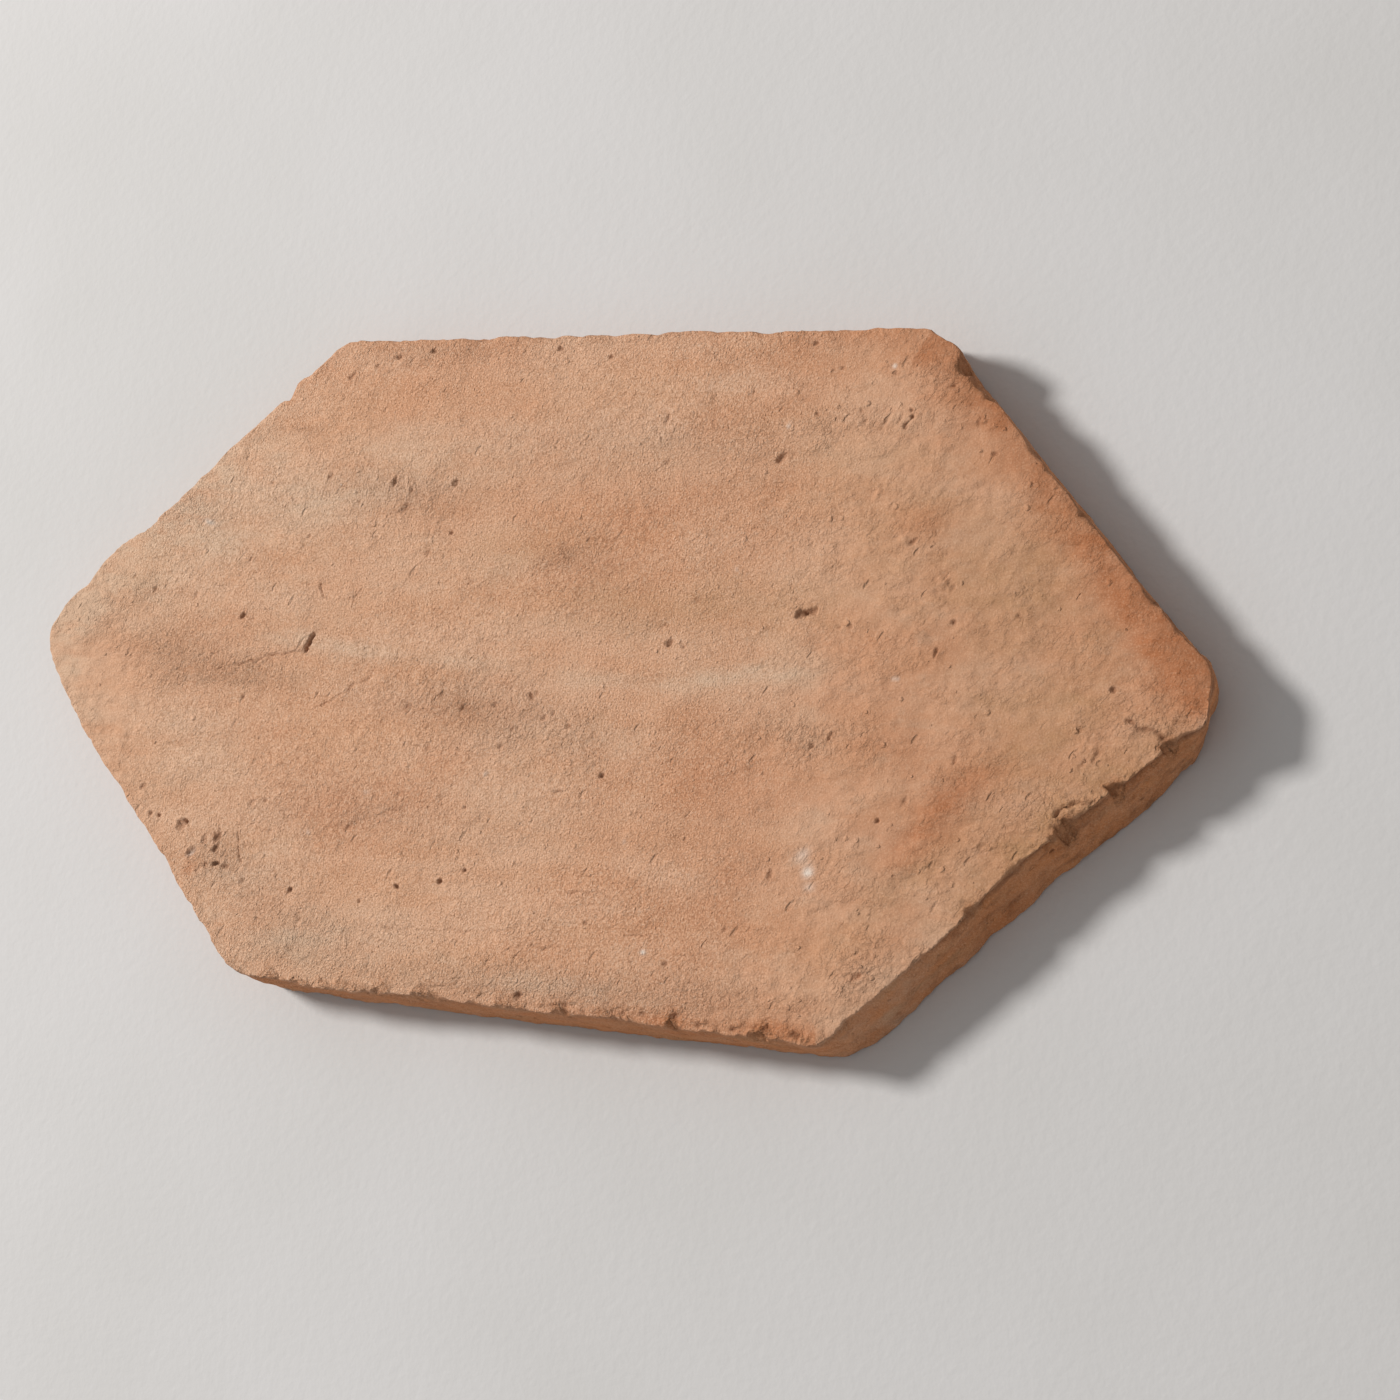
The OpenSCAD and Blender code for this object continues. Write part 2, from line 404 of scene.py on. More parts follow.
    def lay_out(self, lean: Sizes, radii: Sizes, bulges: tuple[Bulge, ...],
                steps: Sizes) -> tuple[Array, Array, Array, Array]:
        """Lay one outline out as points.

        Args:
            lean: How far each wall stands out from the face outline.
            radii: The radius of each worn corner.
            bulges: The bulges and dips of the walls.
            steps: The spacing of the points on each wall.

        Returns:
            The points, their outward directions, distances round and walls.
        """
        points, outs, arounds, sides = [], [], [], []
        for i in range(SIDES):
            turn, n0, back = self.turn(i), self.outward(i - 1), self.tangent(i, radii)
            hub = self.leaned(i, lean) - self.heading(i - 1) * back - n0 * radii[i]
            step = min(steps[i], steps[i - 1])
            count = max(self.fewest_on_corner, math.ceil(self.face_radii[i] * turn / step))
            j = np.arange(count) / count
            angle = math.atan2(n0[1], n0[0]) + turn * j
            way = np.stack([np.cos(angle), np.sin(angle)], 1)
            points.append(hub + radii[i] * way)
            outs.append(way)
            arounds.append(self.starts[i] + back * (2 * j - 1))
            sides.append(np.where(j < 0.5, (i - 1) % SIDES, i))
            ahead = self.tangent(i + 1, radii)
            a = self.leaned(i, lean) + self.heading(i) * back
            b = self.leaned(i + 1, lean) - self.heading(i) * ahead
            free = np.linalg.norm(self.along(i)) - self.tangent(i, self.face_radii) \
                - self.tangent(i + 1, self.face_radii)
            j = (np.arange(math.ceil(free / steps[i])) / math.ceil(free / steps[i]))[:, None]
            points.append(a + (b - a) * j)
            outs.append(np.repeat(self.outward(i)[None], len(j), 0))
            arounds.append((self.starts[i] + back
                            + (self.starts[i + 1] - self.starts[i] - back - ahead) * j[:, 0]))
            sides.append(np.full(len(j), i))
        out, around = np.concatenate(outs), np.concatenate(arounds)
        place = np.concatenate(points) + out * self.bulged(bulges, around)[:, None]
        return place, out, around, np.concatenate(sides)

    def trace(self, steps: Sizes) -> Trace:
        """Lay out the face and bed outlines, matched point for point.

        Args:
            steps: The spacing of the points on each wall.

        Returns:
            The two outlines with their outward directions and distances round.
        """
        upright = (0,) * SIDES
        face, out, around, side = self.lay_out(upright, self.face_radii, self.face_bulges, steps)
        bed, _, _, _ = self.lay_out(self.lean, self.bed_radii, self.bed_bulges, steps)
        return Trace(face, bed, out, around, side)


# ---- marks in the clay


class Mark(StrEnum):
    """What the finish is told about each point: what the clay has been through, and painted light and shade.
    """

    BROKEN = auto()
    PALE = auto()
    BUFF = auto()
    EMBER = auto()
    DARK = auto()
    LIME = auto()
    ROUGH = auto()
    CALM = auto()
    CUT = auto()


BROKEN, PALE, BUFF, EMBER, DARK, LIME, ROUGH, CALM, CUT = Mark


@dataclass
class Marks:
    """How strong each mark is at each point of a part of the surface, 0 to 1."""

    count: int
    values: dict[Mark, Array] = field(init=False)

    def __post_init__(self) -> None:
        """Start with nothing marked."""
        self.values = {mark: np.zeros(self.count) for mark in Mark}

    def raise_to(self, mark: Mark, amount: Array | float) -> None:
        """Keep the stronger of what a point has and what it is given."""
        self.values[mark] = np.maximum(self.values[mark], np.clip(amount, 0, 1))

    def add(self, mark: Mark, amount: Array) -> None:
        """Add to what a point has, up to one."""
        self.values[mark] = np.clip(self.values[mark] + amount, 0, 1)


@dataclass
class Skin:
    """The face as it is shaped: where its points lie, how high they stand and their marks."""

    x: Array
    y: Array
    high: Array
    marks: Marks


def hollow_grime_and_shade(dark: float) -> float:
    """How strongly a hollow is marked dark, for how dark it is to look: grime and painted shade in it."""
    return 0.6 * dark ** 1.7


@dataclass(frozen=True)
class Spot:
    """An oval spot on the face: its place, half length and half width, and turn in degrees."""

    x: float
    y: float
    half_long: float
    half_wide: float
    turn: float

    def ring(self, x: Array, y: Array) -> Array:
        """How far out each place lies: nothing in the spot's middle, one on its rim.

        Args:
            x: Places along the tile.
            y: Places across it.

        Returns:
            A share of the way out to the rim for each place.
        """
        dx, dy, turn = x - self.x, y - self.y, math.radians(self.turn)
        u = (dx * math.cos(turn) + dy * math.sin(turn)) / self.half_long
        v = (dy * math.cos(turn) - dx * math.sin(turn)) / self.half_wide
        return np.hypot(u, v)

    def reach(self, spare: float) -> float:
        """How far from its middle the face is touched, with some to spare."""
        return 1.25 * self.half_long + spare


@dataclass(frozen=True)
class Hollow(Spot):
    """A pit in the face: how deep it is, how dark, and how high its lip stands."""

    deep: float
    dark: float = 0.6
    lip: float = 0.0

    def cut(self, skin: Skin, grain: Grain) -> None:
        """Sink the pit into the face and mark its floor darker, for grime and painted shade.

        Args:
            skin: The face, changed in place.
            grain: The noise that roughens the pit's rim.
        """
        near = np.nonzero(np.hypot(skin.x - self.x, skin.y - self.y) < 1.6 * self.half_long + 1)[0]
        x, y = skin.x[near], skin.y[near]
        ring = self.ring(x, y) * (1 + 0.42 * grain.layered(x / 1.5, y / 1.5, 2))
        bowl = np.clip(1 - ring * ring, 0, 1) ** 0.8
        skin.high[near] -= self.deep * bowl
        skin.high[near] += self.lip * np.exp(-((ring - 1.2) / 0.25) ** 2)
        given = np.zeros(len(skin.x))
        given[near] = hollow_grime_and_shade(self.dark) * smooth(0.05, 0.8, bowl)
        skin.marks.raise_to(DARK, given)


@dataclass(frozen=True)
class Rise(Spot):
    """A scab or grain of grog: how high it stands up from the face."""

    high: float

    def cut(self, skin: Skin, grain: Grain) -> None:
        """Lift the scab out of the face, lumpy with noise."""
        ring = self.ring(skin.x, skin.y) * (1 + 0.25 * grain.layered(skin.x / 2.2, skin.y / 2.2, 2))
        skin.high += self.high * swell(ring) * (1 + 0.35 * grain.at(skin.x / 1.5, skin.y / 1.5))


@dataclass(frozen=True)
class Stain(Spot):
    """A soft patch of the finish: how strong it is."""

    amount: float

    def lay(self, mark: Mark, skin: Skin, feather: Array) -> None:
        """Add the patch to one of the face's marks, its rim moved in and out by the feather."""
        ring = self.ring(skin.x, skin.y) * feather
        skin.marks.add(mark, self.amount * np.exp(-1.6 * ring * ring))


@dataclass(frozen=True)
class Crack:
    """A drying crack or scratch: the points it runs through, its half width and depth."""

    points: tuple[Sizes, ...]
    half_wide: float
    deep: float
    dark: float = 0.6

    def distance(self, x: Array, y: Array) -> Array:
        """How far each place lies from the crack.

        Args:
            x: Places along the tile.
            y: Places across it.

        Returns:
            The distance of each place.
        """
        best = np.full(len(x), np.inf)
        for (ax, ay), (bx, by) in zip(self.points, self.points[1:]):
            run = (bx - ax) ** 2 + (by - ay) ** 2
            t = np.clip(((x - ax) * (bx - ax) + (y - ay) * (by - ay)) / run, 0, 1)
            best = np.minimum(best, np.hypot(x - ax - t * (bx - ax), y - ay - t * (by - ay)))
        return best

    def cut(self, skin: Skin, grain: Grain) -> None:
        """Open the crack in the face and mark it darker, for grime and painted shade.

        Args:
            skin: The face, changed in place.
            grain: The noise that makes the crack wander.
        """
        x, y = skin.x, skin.y
        wx = x + 0.8 * grain.layered(x / 4.5, y / 4.5, 2) + 0.3 * grain.at(x / 1.3, y / 1.3)
        wy = y + 0.8 * grain.layered(x / 4.5 + 31, y / 4.5 - 12, 2) + 0.3 * grain.at(x / 1.3 + 9, y / 1.3)
        wide = self.half_wide * (0.75 + 0.5 * grain.at(x / 3, y / 3))
        groove = np.clip(1 - self.distance(wx, wy) / np.maximum(wide, 0.15), 0, 1)
        skin.high -= self.deep * groove * np.clip(0.8 + 0.7 * grain.at(x / 5 + 7, y / 5), 0.2, 1.3)
        skin.marks.raise_to(DARK, hollow_grime_and_shade(self.dark) * smooth(0.1, 0.9, groove))


# ---- points and rings


def lattice(box: Sizes, step: float) -> Array:
    """Fill a box with points on a triangular lattice.

    Args:
        box: Its left, right, near and far sides.
        step: The spacing.

    Returns:
        The points.
    """
    left, right, low, high = box
    rise = step * math.sqrt(3) / 2
    rows = np.arange(math.floor(low / rise), math.ceil(high / rise) + 1)
    columns = np.arange(math.floor(left / step), math.ceil(right / step) + 1)
    grid_x, grid_y = np.meshgrid(columns * step, rows * rise)
    grid_x = grid_x + (rows % 2)[:, None] * step / 2
    return np.stack([grid_x.ravel(), grid_y.ravel()], 1)


def is_inside(points: Array, loop: Array) -> Array:
    """Say which points lie inside a closed loop.

    Args:
        points: The points.
        loop: The loop's corners in order.

    Returns:
        True for each point inside.
    """
    inside = np.zeros(len(points), bool)
    x, y = points[:, 0], points[:, 1]
    for (ax, ay), (bx, by) in zip(loop, np.roll(loop, -1, 0)):
        if ay != by:
            crosses = (ay > y) != (by > y)
            inside ^= crosses & (x < ax + (y - ay) * (bx - ax) / (by - ay))
    return inside


def nearest(points: Array, loop: Array) -> tuple[Array, Array]:
    """Find each point's nearest loop corner.

    Args:
        points: The points.
        loop: The loop's corners.

    Returns:
        The corner's number and its distance, for each point.
    """
    at_once = 4096
    index, gap = np.zeros(len(points), np.int64), np.zeros(len(points))
    for start in range(0, len(points), at_once):
        part = slice(start, start + at_once)
        square = ((points[part, None, :] - loop[None]) ** 2).sum(2)
        index[part] = square.argmin(1)
        gap[part] = np.sqrt(square.min(1))
    return index, gap


@dataclass
class FilledRing:
    """The inside of a ring filled with triangles: its points, and their numbers in ring and filling."""

    count: int
    points: Array
    number: Array
    triangles: Array

    @classmethod
    def fill(cls, ring: Array, inner: Array) -> "FilledRing":
        """Fill a ring.

        Args:
            ring: The ring's points, in two columns.
            inner: The points inside it.

        Returns:
            The filled ring.
        """
        count, given = len(ring), np.concatenate([ring, inner])
        sides = [(i, (i + 1) % count) for i in range(count)]
        _, _, faces, origins, _, _ = delaunay_2d_cdt([Vector(p) for p in given], sides, [], 1, 1e-7)
        number = np.array([origin[0] for origin in origins])
        return cls(count, given[number], number, np.array(faces, np.int64))

    @property
    def fresh(self) -> Array:
        """True for each point that isn't one of the ring's own."""
        return self.number >= self.count

    def numbered(self, ring_start: int, fresh_start: int) -> Array:
        """The triangles, numbered for a mesh that holds the ring and the fresh points apart."""
        order = np.where(self.fresh, fresh_start + np.cumsum(self.fresh) - 1, ring_start + self.number)
        return order[self.triangles]


# ---- the face


@dataclass
class WornFace:
    """The struck and worn face: its hollows, strokes, pits, cracks, scabs and stains."""

    hollow: float = 0.9
    pits: tuple[Hollow, ...] = many(Hollow, *(
        (72.9, 18, 2, 1.5, 20, 1.1, 0.85), (76.6, 19, 2.1, 1.4, 10, 1, 0.85),
        (74.8, 18.5, 1.6, 0.7, 15, 0.8, 1), (-93.8, 4.9, 3.3, 0.95, 69, 1.9, 1),
        (-94.8, 2, 1.3, 0.6, 50, 0.9, 0.8), (98.9, 74.6, 0.8, 0.6, 60, 0.8, 1),
        (97.1, 72.2, 2, 0.7, 62, 0.45, 0.3), (97.4, 71.4, 1, 0.5, 60, 0.6, 0.8),
        (98.4, 76.5, 0.7, 0.5, 50, 0.7, 0.9), (95.7, 74.7, 1.5, 0.5, 75, 0.35, 0.35),
        (95, 73, 1.3, 0.5, 75, 0.3, 0.3), (59.5, 62.8, 2.6, 1.2, 45, 0.9),
        (63.2, 63.2, 1.6, 1, 60, 0.5, 0.4), (32.1, 8.5, 1.4, 1, 40, 1, 0.9),
        (36.9, 7.6, 0.8, 0.7, 0, 0.6, 0.8), (-120.8, 12.1, 1.6, 0.95, 62, 1.1, 0.9),
        (-157.1, 19.4, 1.3, 0.8, 60, 0.7), (-166, 23.7, 1.1, 0.7, 60, 0.5, 0.5),
        (-140.6, 17.7, 1.5, 0.8, 50, 0.5, 0.4), (16.9, -30.4, 0.9, 0.8, 0, 0.9, 1),
        (106.6, -38.1, 0.85, 0.8, 0, 0.8, 1), (120, 72.8, 1.3, 1.1, 30, 0.5),
        (125.6, 64, 1.1, 0.8, 0, 0.6, 0.8), (110.3, 83.4, 0.9, 0.7, 0, 0.6, 0.8),
        (-79.3, 94, 1.1, 0.9, 20, 0.8, 0.9), (-66.9, 95.8, 1.2, 0.9, 0, 0.9, 1),
        (-86.9, 91.3, 0.8, 0.6, 0, 0.5, 0.7), (-95.6, 88.2, 1.8, 0.8, 50, 0.6, 0.5),
        (-20.7, 95.9, 1.2, 0.9, 0, 0.8, 0.9), (-2.7, 93.2, 0.9, 0.8, 0, 0.7, 0.9),
        (65.1, 96.2, 1.2, 0.9, 0, 0.7, 0.9), (74.9, 88.7, 0.8, 0.7, 0, 0.5, 0.7),
        (-84.8, -70.1, 1, 0.9, 0, 1, 1), (-46.6, -66.6, 0.9, 0.75, 150, 1, 1),
        (-31.8, -63.9, 1, 0.95, 0, 1.1, 1), (-24, -60.2, 0.8, 0.75, 0, 0.9, 1),
        (-58.9, -71.9, 0.7, 0.6, 0, 0.6, 0.8), (1.3, -94.2, 1.7, 1.2, 15, 1.3, 1),
        (-115.4, -12.9, 0.8, 0.7, 0, 0.7, 0.9), (-99.9, -44, 1, 0.8, 0, 0.5),
        (-104.8, -44.8, 1.8, 0.9, 20, 0.5, 0.4), (-83.9, -45.6, 1.4, 0.7, 0, 0.3, 0.3),
        (-147.8, -42.3, 1.6, 1.2, 30, 0.7), (-139.6, -50.8, 0.8, 0.8, 0, 0.9, 1),
        (-142.9, -50.4, 0.9, 0.7, 0, 0.8, 0.9), (-129.8, -53.1, 2.2, 1.7, 20, 1, 0.6, 0.2),
        (-128.6, -52.3, 0.9, 0.7, 20, 0.5, 1), (-115.6, -56.1, 2.2, 1.3, 70, 1.1, 0.9),
        (-115.5, -59.6, 1.9, 1, 60, 1, 0.9), (-120.3, -57.4, 1.8, 1, 80, 0.8, 0.5),
        (-124.3, -61.3, 2.1, 1.6, 45, 0.9, 0.5, 0.15), (-114.4, -64.2, 2.2, 0.7, 8, 0.9, 1),
        (-110.6, -64.6, 1.5, 0.7, 0, 0.7, 0.9), (-118.4, -65, 1.4, 0.9, 30, 0.6),
        (-103.1, -69, 1.3, 0.8, 60, 0.6, 0.7), (-121, -67, 1.3, 0.8, 0, 0.4, 0.4),
        (-75.8, 37.5, 1, 0.7, 0, 0.5), (-101, 37.4, 1.2, 0.7, 40, 0.4, 0.4),
        (-48.7, 39.3, 0.75, 0.6, 0, 0.7, 1), (-55.9, 33, 1.4, 1, 45, 0.5, 0.5),
        (-72.6, 54.5, 2, 0.9, 75, 0.9, 0.7), (-65.7, 52.6, 1.4, 0.8, 110, 0.6, 0.5),
        (-50.1, 54.6, 1.5, 1.1, 60, 0.8, 0.7), (-96.8, 56.3, 1.6, 1, 50, 0.6),
        (-91.4, 53.4, 1.2, 0.7, 30, 0.4, 0.4), (-66.8, 46.8, 2.3, 1.3, 40, 0.6, 0.5, 0.1),
        (-84.5, 48.3, 1.6, 0.8, 10, 0.5, 0.5), (-118.5, 54.1, 0.8, 0.5, 0, 0.4),
        (-121.6, 29.8, 0.9, 0.6, 60, 0.4, 0.5), (47.3, 82, 1, 0.6, 80, 0.5), (20.1, 74.5, 1.5, 0.7, 70, 0.6),
        (68.9, 75.5, 0.9, 0.7, 0, 0.6, 0.8), (82.8, 76.6, 0.9, 0.6, 80, 0.4, 0.5),
        (84.2, 73.2, 1.5, 0.7, 20, 0.4, 0.5), (90.7, 73, 1.2, 0.8, 60, 0.4, 0.4),
        (22.3, 61.3, 1.1, 0.8, 60, 0.5), (89, 15.2, 0.8, 0.8, 0, 0.5, 0.7),
        (85.7, 14.9, 0.8, 0.6, 0, 0.4, 0.5), (120.2, 17.2, 0.9, 0.8, 0, 0.6, 0.8),
        (116.4, 8.9, 1.4, 0.7, 80, 0.7, 0.7), (139.3, 19.5, 0.8, 0.7, 0, 0.5, 0.7),
        (169.3, 0.5, 1.1, 1, 0, 0.7, 0.8), (161.6, -10.6, 0.9, 0.8, 0, 0.4),
        (88, -15.4, 1.5, 0.8, 65, 0.7, 0.7), (82.8, -18.4, 1.1, 0.8, 0, 0.6, 0.7),
        (113.7, -32, 1.3, 0.7, 80, 0.4, 0.4), (167.4, -17.5, 2.2, 0.9, 55, 0.6, 0.5),
        (164.2, -19.2, 1.8, 0.8, 55, 0.5, 0.4), (126.8, -20.4, 1.6, 0.7, 80, 0.5, 0.5),
        (76.2, -54.7, 1.5, 1.1, 80, 0.6), (64.7, -70.9, 1.2, 0.7, 50, 0.5),
        (72.4, -69.9, 1, 0.6, 60, 0.4, 0.5), (19.9, -72.4, 0.9, 0.8, 0, 0.6, 0.8),
        (47.5, -81.6, 1.1, 0.7, 10, 0.7, 0.9), (-11.2, -8.5, 1.6, 0.8, 125, 0.8, 0.8),
        (-9.6, -7.4, 0.9, 0.6, 45, 0.5, 0.7), (-5.7, -14.7, 1.4, 0.8, 60, 0.5),
        (-2.8, -13.2, 1.3, 0.7, 75, 0.5), (2.9, -16.6, 1.1, 0.9, 0, 0.6, 0.7), (-19, -24, 1.2, 0.7, 60, 0.5),
        (-15.8, -18.4, 1.1, 0.7, 60, 0.5), (-23.5, -11.5, 1.1, 0.8, 60, 0.5),
        (-42.4, -9.3, 1.4, 0.8, 50, 0.5, 0.5), (-53.9, -13.5, 1.6, 1.1, 20, 0.6, 0.7),
        (-33.9, -12.7, 1.8, 1.2, 40, 0.6), (-47.8, -21.2, 1, 0.7, 60, 0.4, 0.5),
        (-44.2, -25.3, 1.3, 0.7, 60, 0.4, 0.4), (3.4, -35.6, 1.5, 0.45, 10, 0.5, 0.9),
        (-51.6, -39.4, 1.1, 0.6, 70, 0.4, 0.5), (-27.5, -41.9, 0.6, 0.5, 0, 0.5, 0.9),
        (-67.7, -50.3, 1.3, 0.8, 40, 0.5), (-95.8, -52.9, 0.8, 0.6, 0, 0.3, 0.4),
        (39.1, 21.4, 1.6, 1.2, 20, 0.3), (104.3, 39, 1.6, 0.9, 50, 0.7), (118.5, 26.8, 1.4, 1, 70, 0.5),
        (106.9, -80.3, 1.7, 1, 45, 0.6, 0.5), (52.7, -96, 1.9, 1.5, 70, 1.3, 0.9),
        (81.3, -97, 1.9, 1.3, 10, 1.2, 0.9), (90.7, -97, 1.5, 1.2, 0, 1, 0.9),
        (42.8, -96, 1.1, 0.8, 0, 0.7, 0.8), (36.3, -96.5, 1.3, 0.8, 20, 0.6, 0.8),
        (23.6, -97, 1.3, 0.8, 0, 0.6, 0.8), (27.4, -96.9, 1, 0.8, 0, 0.5, 0.7),
        (61.1, -97.2, 1.2, 0.9, 0, 0.7, 0.8), (71.9, -97.6, 1.3, 0.8, 0, 0.7, 0.8),
        (17.1, -95.9, 1.7, 1.2, 30, 1, 0.8),
    ))
    cracks: tuple[Crack, ...] = many(Crack, *(
        (((-94.3, 3.1), (-101.6, 0.9), (-107.4, 0.4), (-114.1, -2), (-118.7, -2.8)), 0.65, 0.7, 0.8),
        (((-118.7, -2.8), (-124, -4.6), (-131, -5)), 0.5, 0.3, 0.4),
        (((-92.9, 22.6), (-92.2, 19.8), (-91.5, 18.6), (-90, 18.5)), 0.7, 0.9, 0.9),
        (((-78.1, 22), (-79.1, 19.1), (-80.2, 16)), 0.5, 0.6),
        (((-111.3, -3.8), (-109, -1.4), (-106.8, 0.2), (-105.6, -3.6)), 0.45, 0.4, 0.4),
        (((-68.1, -2.7), (-70.8, -6.2), (-76, -8.7), (-80.1, -11.3), (-84.7, -14.3)), 0.6, 0.6),
        (((-56.2, -45.6), (-53.8, -44.2), (-51, -44.3)), 0.4, 0.5),
        (((12.1, -64.1), (18, -64), (24.3, -63.4)), 0.4, 0.45),
        (((-50.9, 7.3), (-38, 7), (-25.3, 7.4)), 0.4, 0.3, 0.35),
        (((-39.8, 24.4), (-36.4, 24.6)), 0.45, 0.5, 0.7),
        (((-48.3, -78.5), (-40, -78.9), (-31.2, -78.1), (-17, -77.5), (-2.8, -76)), 0.5, 0.45, 0.5),
        (((33.3, -75.2), (37, -74.9), (41.3, -74.6)), 0.45, 0.5),
        (((2.4, -80.3), (14, -80), (24.8, -79.1)), 0.45, 0.4, 0.5),
        (((-108.3, -54.7), (-106.9, -58), (-104.6, -62.7)), 0.6, 0.8, 0.9),
        (((34.2, 35.2), (33.1, 31.5)), 0.45, 0.5, 0.5),
        (((31.4, 13.5), (29.6, 13.2), (28.5, 12)), 0.4, 0.45),
        (((88.3, -58.3), (89.6, -60.2), (90.1, -62.6)), 0.45, 0.45, 0.5),
        (((173.9, -7.4), (178.9, -9.4), (183.2, -10.5), (187.2, -13.2)), 1, 1.1, 0.9),
        (((157.7, -33.5), (160.5, -31), (164.5, -30.2), (168.6, -29.6)), 0.9, 1.1, 0.8),
        (((158.9, -35.3), (162.5, -33.6), (166.5, -32.1)), 0.7, 0.8, 0.8),
        (((-80.9, -81.9), (-78.5, -78.8)), 0.5, 0.5, 0.4), (((-62.9, -82.2), (-62.3, -79)), 0.6, 0.5, 0.4),
        (((-96.3, -89.2), (-95.9, -87)), 0.45, 0.5),
        (((78, -15.3), (84, -15.6), (90, -17.5)), 0.4, 0.35, 0.3),
        (((64, -16), (72, -17.4), (80, -18)), 0.4, 0.3, 0.3),
        (((-108, 71.6), (-114, 71.2), (-120.5, 71.5)), 0.5, 0.3, 0.3),
        (((-152, 46.5), (-144, 44.6), (-134, 43.4)), 0.5, 0.3, 0.2),
        (((-143.5, 41.6), (-137, 40.4), (-130, 39.1)), 0.5, 0.3, 0.2),
    ))
    rises: tuple[Rise, ...] = many(Rise, *(
        (40.1, -79.4, 1.1, 1, 0, 0.7), (101.5, 40, 2.8, 1.7, 50, 0.7), (115.2, 28, 2.6, 2.2, 30, 0.6),
        (104.3, -77.3, 2.4, 1.6, 45, 0.6), (-156.6, 45.4, 2.6, 1.6, 40, 0.7),
        (120.8, 73.4, 1.5, 1.2, 30, 0.5), (91.5, 52.5, 2.2, 1, 75, 0.35), (136, -42, 2.6, 1.6, 70, 0.45),
        (134, -39, 1.8, 1.2, 40, 0.35), (-9.4, 34, 5, 3.4, 20, 0.35), (186.5, -6.5, 3.4, 2.2, 60, 0.35),
        (-22.3, -32, 1.2, 0.8, 60, 0.4), (108.5, -83.6, 2.2, 1.4, 45, 0.5), (-103, -33.5, 1.3, 0.9, 0, 0.3),
        (165.8, -16, 3, 1.2, 55, 0.3), (-132.5, 64, 2, 1.2, 45, 0.3), (161, -32.4, 3, 0.9, 24, 0.45),
        (165.5, -31.2, 2.6, 0.8, 12, 0.4), (163, -35.2, 2.4, 0.9, 28, 0.4), (183.8, -8.6, 2.2, 1, -24, 0.45),
        (179.5, -7.6, 2, 0.8, -20, 0.35), (185.8, -10.6, 1.3, 0.9, 30, 0.4), (55.6, -96.4, 1.2, 0.9, 0, 0.5),
        (58.8, -96.4, 1.3, 0.9, 20, 0.5), (74.6, -97.4, 1.2, 0.8, 0, 0.45), (85.8, -97, 2.3, 1.3, 5, 0.6),
        (95.3, -97, 1.4, 1.1, 0, 0.6), (98.6, -96.4, 1.3, 1, 20, 0.5), (100.9, -95.4, 1.2, 0.9, 0, 0.5),
        (30.9, -96.4, 1.3, 0.9, 0, 0.45), (39.5, -95.8, 1.3, 0.9, 10, 0.45), (66.2, -96.8, 1.3, 0.9, 0, 0.4),
        (46.5, -96.2, 1.1, 0.9, 0, 0.4), (9.5, -96, 1.3, 1, 0, 0.4),
    ))
    pale: tuple[Stain, ...] = many(Stain, *(
        (-80, 3.4, 26, 3.4, -3, 1), (-34, 1, 28, 3, 0, 0.6), (14, -2.6, 24, 3.2, -3, 0.6),
        (50, -1, 18, 3.6, 4, 0.9), (70, 1.5, 18, 4.4, 8, 0.8), (-96, 14, 30, 8, 0, 0.35),
        (0, 14, 44, 6, 0, 0.3), (16, -20, 26, 7, 0, 0.45), (78, -12, 20, 7, 0, 0.25),
        # The wide patch at (-150, 0) is painted light: it lightens the left end, as a nearer lamp would.
        (-24, 31, 12, 6, 0, 0.3), (-20, -94, 90, 8, 0, 0.35), (-150, 0, 60, 90, 0, 0.25),
        (-100, -60, 50, 40, 0, 0.15), (-105, 48, 36, 16, -10, 0.7), (-60, 62, 40, 14, 0, 0.5),
        (-135, 36, 22, 8, -20, 0.45), (-50, 28, 44, 10, 0, 0.3), (-188, 6, 12, 14, 0, 0.7),
        (-125, -28, 24, 16, 0, 0.4), (-100, -70, 28, 14, 40, 0.4), (-5, -40, 55, 18, 0, 0.25),
        (-84, -86, 26, 8, 10, 0.4), (84, -46, 18, 14, 0, 0.2), (-150, 22, 30, 14, 30, 0.4),
        (-60, -80, 40, 10, 0, 0.35), (40, -86, 50, 6, 0, 0.2), (-10, 84, 80, 8, 0, 0.2),
        (20, 62, 60, 12, 0, 0.25), (130, 40, 12, 18, 40, 0.35), (126, 4, 12, 7, 20, 0.3),
        (112, -54, 13, 9, 30, 0.4), (18, -92, 46, 5, 0, 0.3), (130, -31, 8, 7, 0, 0.25),
        (76, 93, 16, 6, 0, 0.3),
    ))
    buff: tuple[Stain, ...] = many(Stain, *(
        (138, 28, 26, 24, 40, 0.8), (152, -8, 24, 16, 30, 0.75), (100, 44, 22, 18, 0, 0.4),
        (70, 20, 40, 12, 0, 0.4), (20, 18, 46, 10, 0, 0.35), (-20, 36, 28, 8, 0, 0.35),
        (-160, 26, 18, 8, 38, 0.25), (-60, -88, 50, 7, 0, 0.1), (120, -52, 40, 8, 46, 0.5),
        (84, 64, 30, 10, 0, 0.3),
    ))
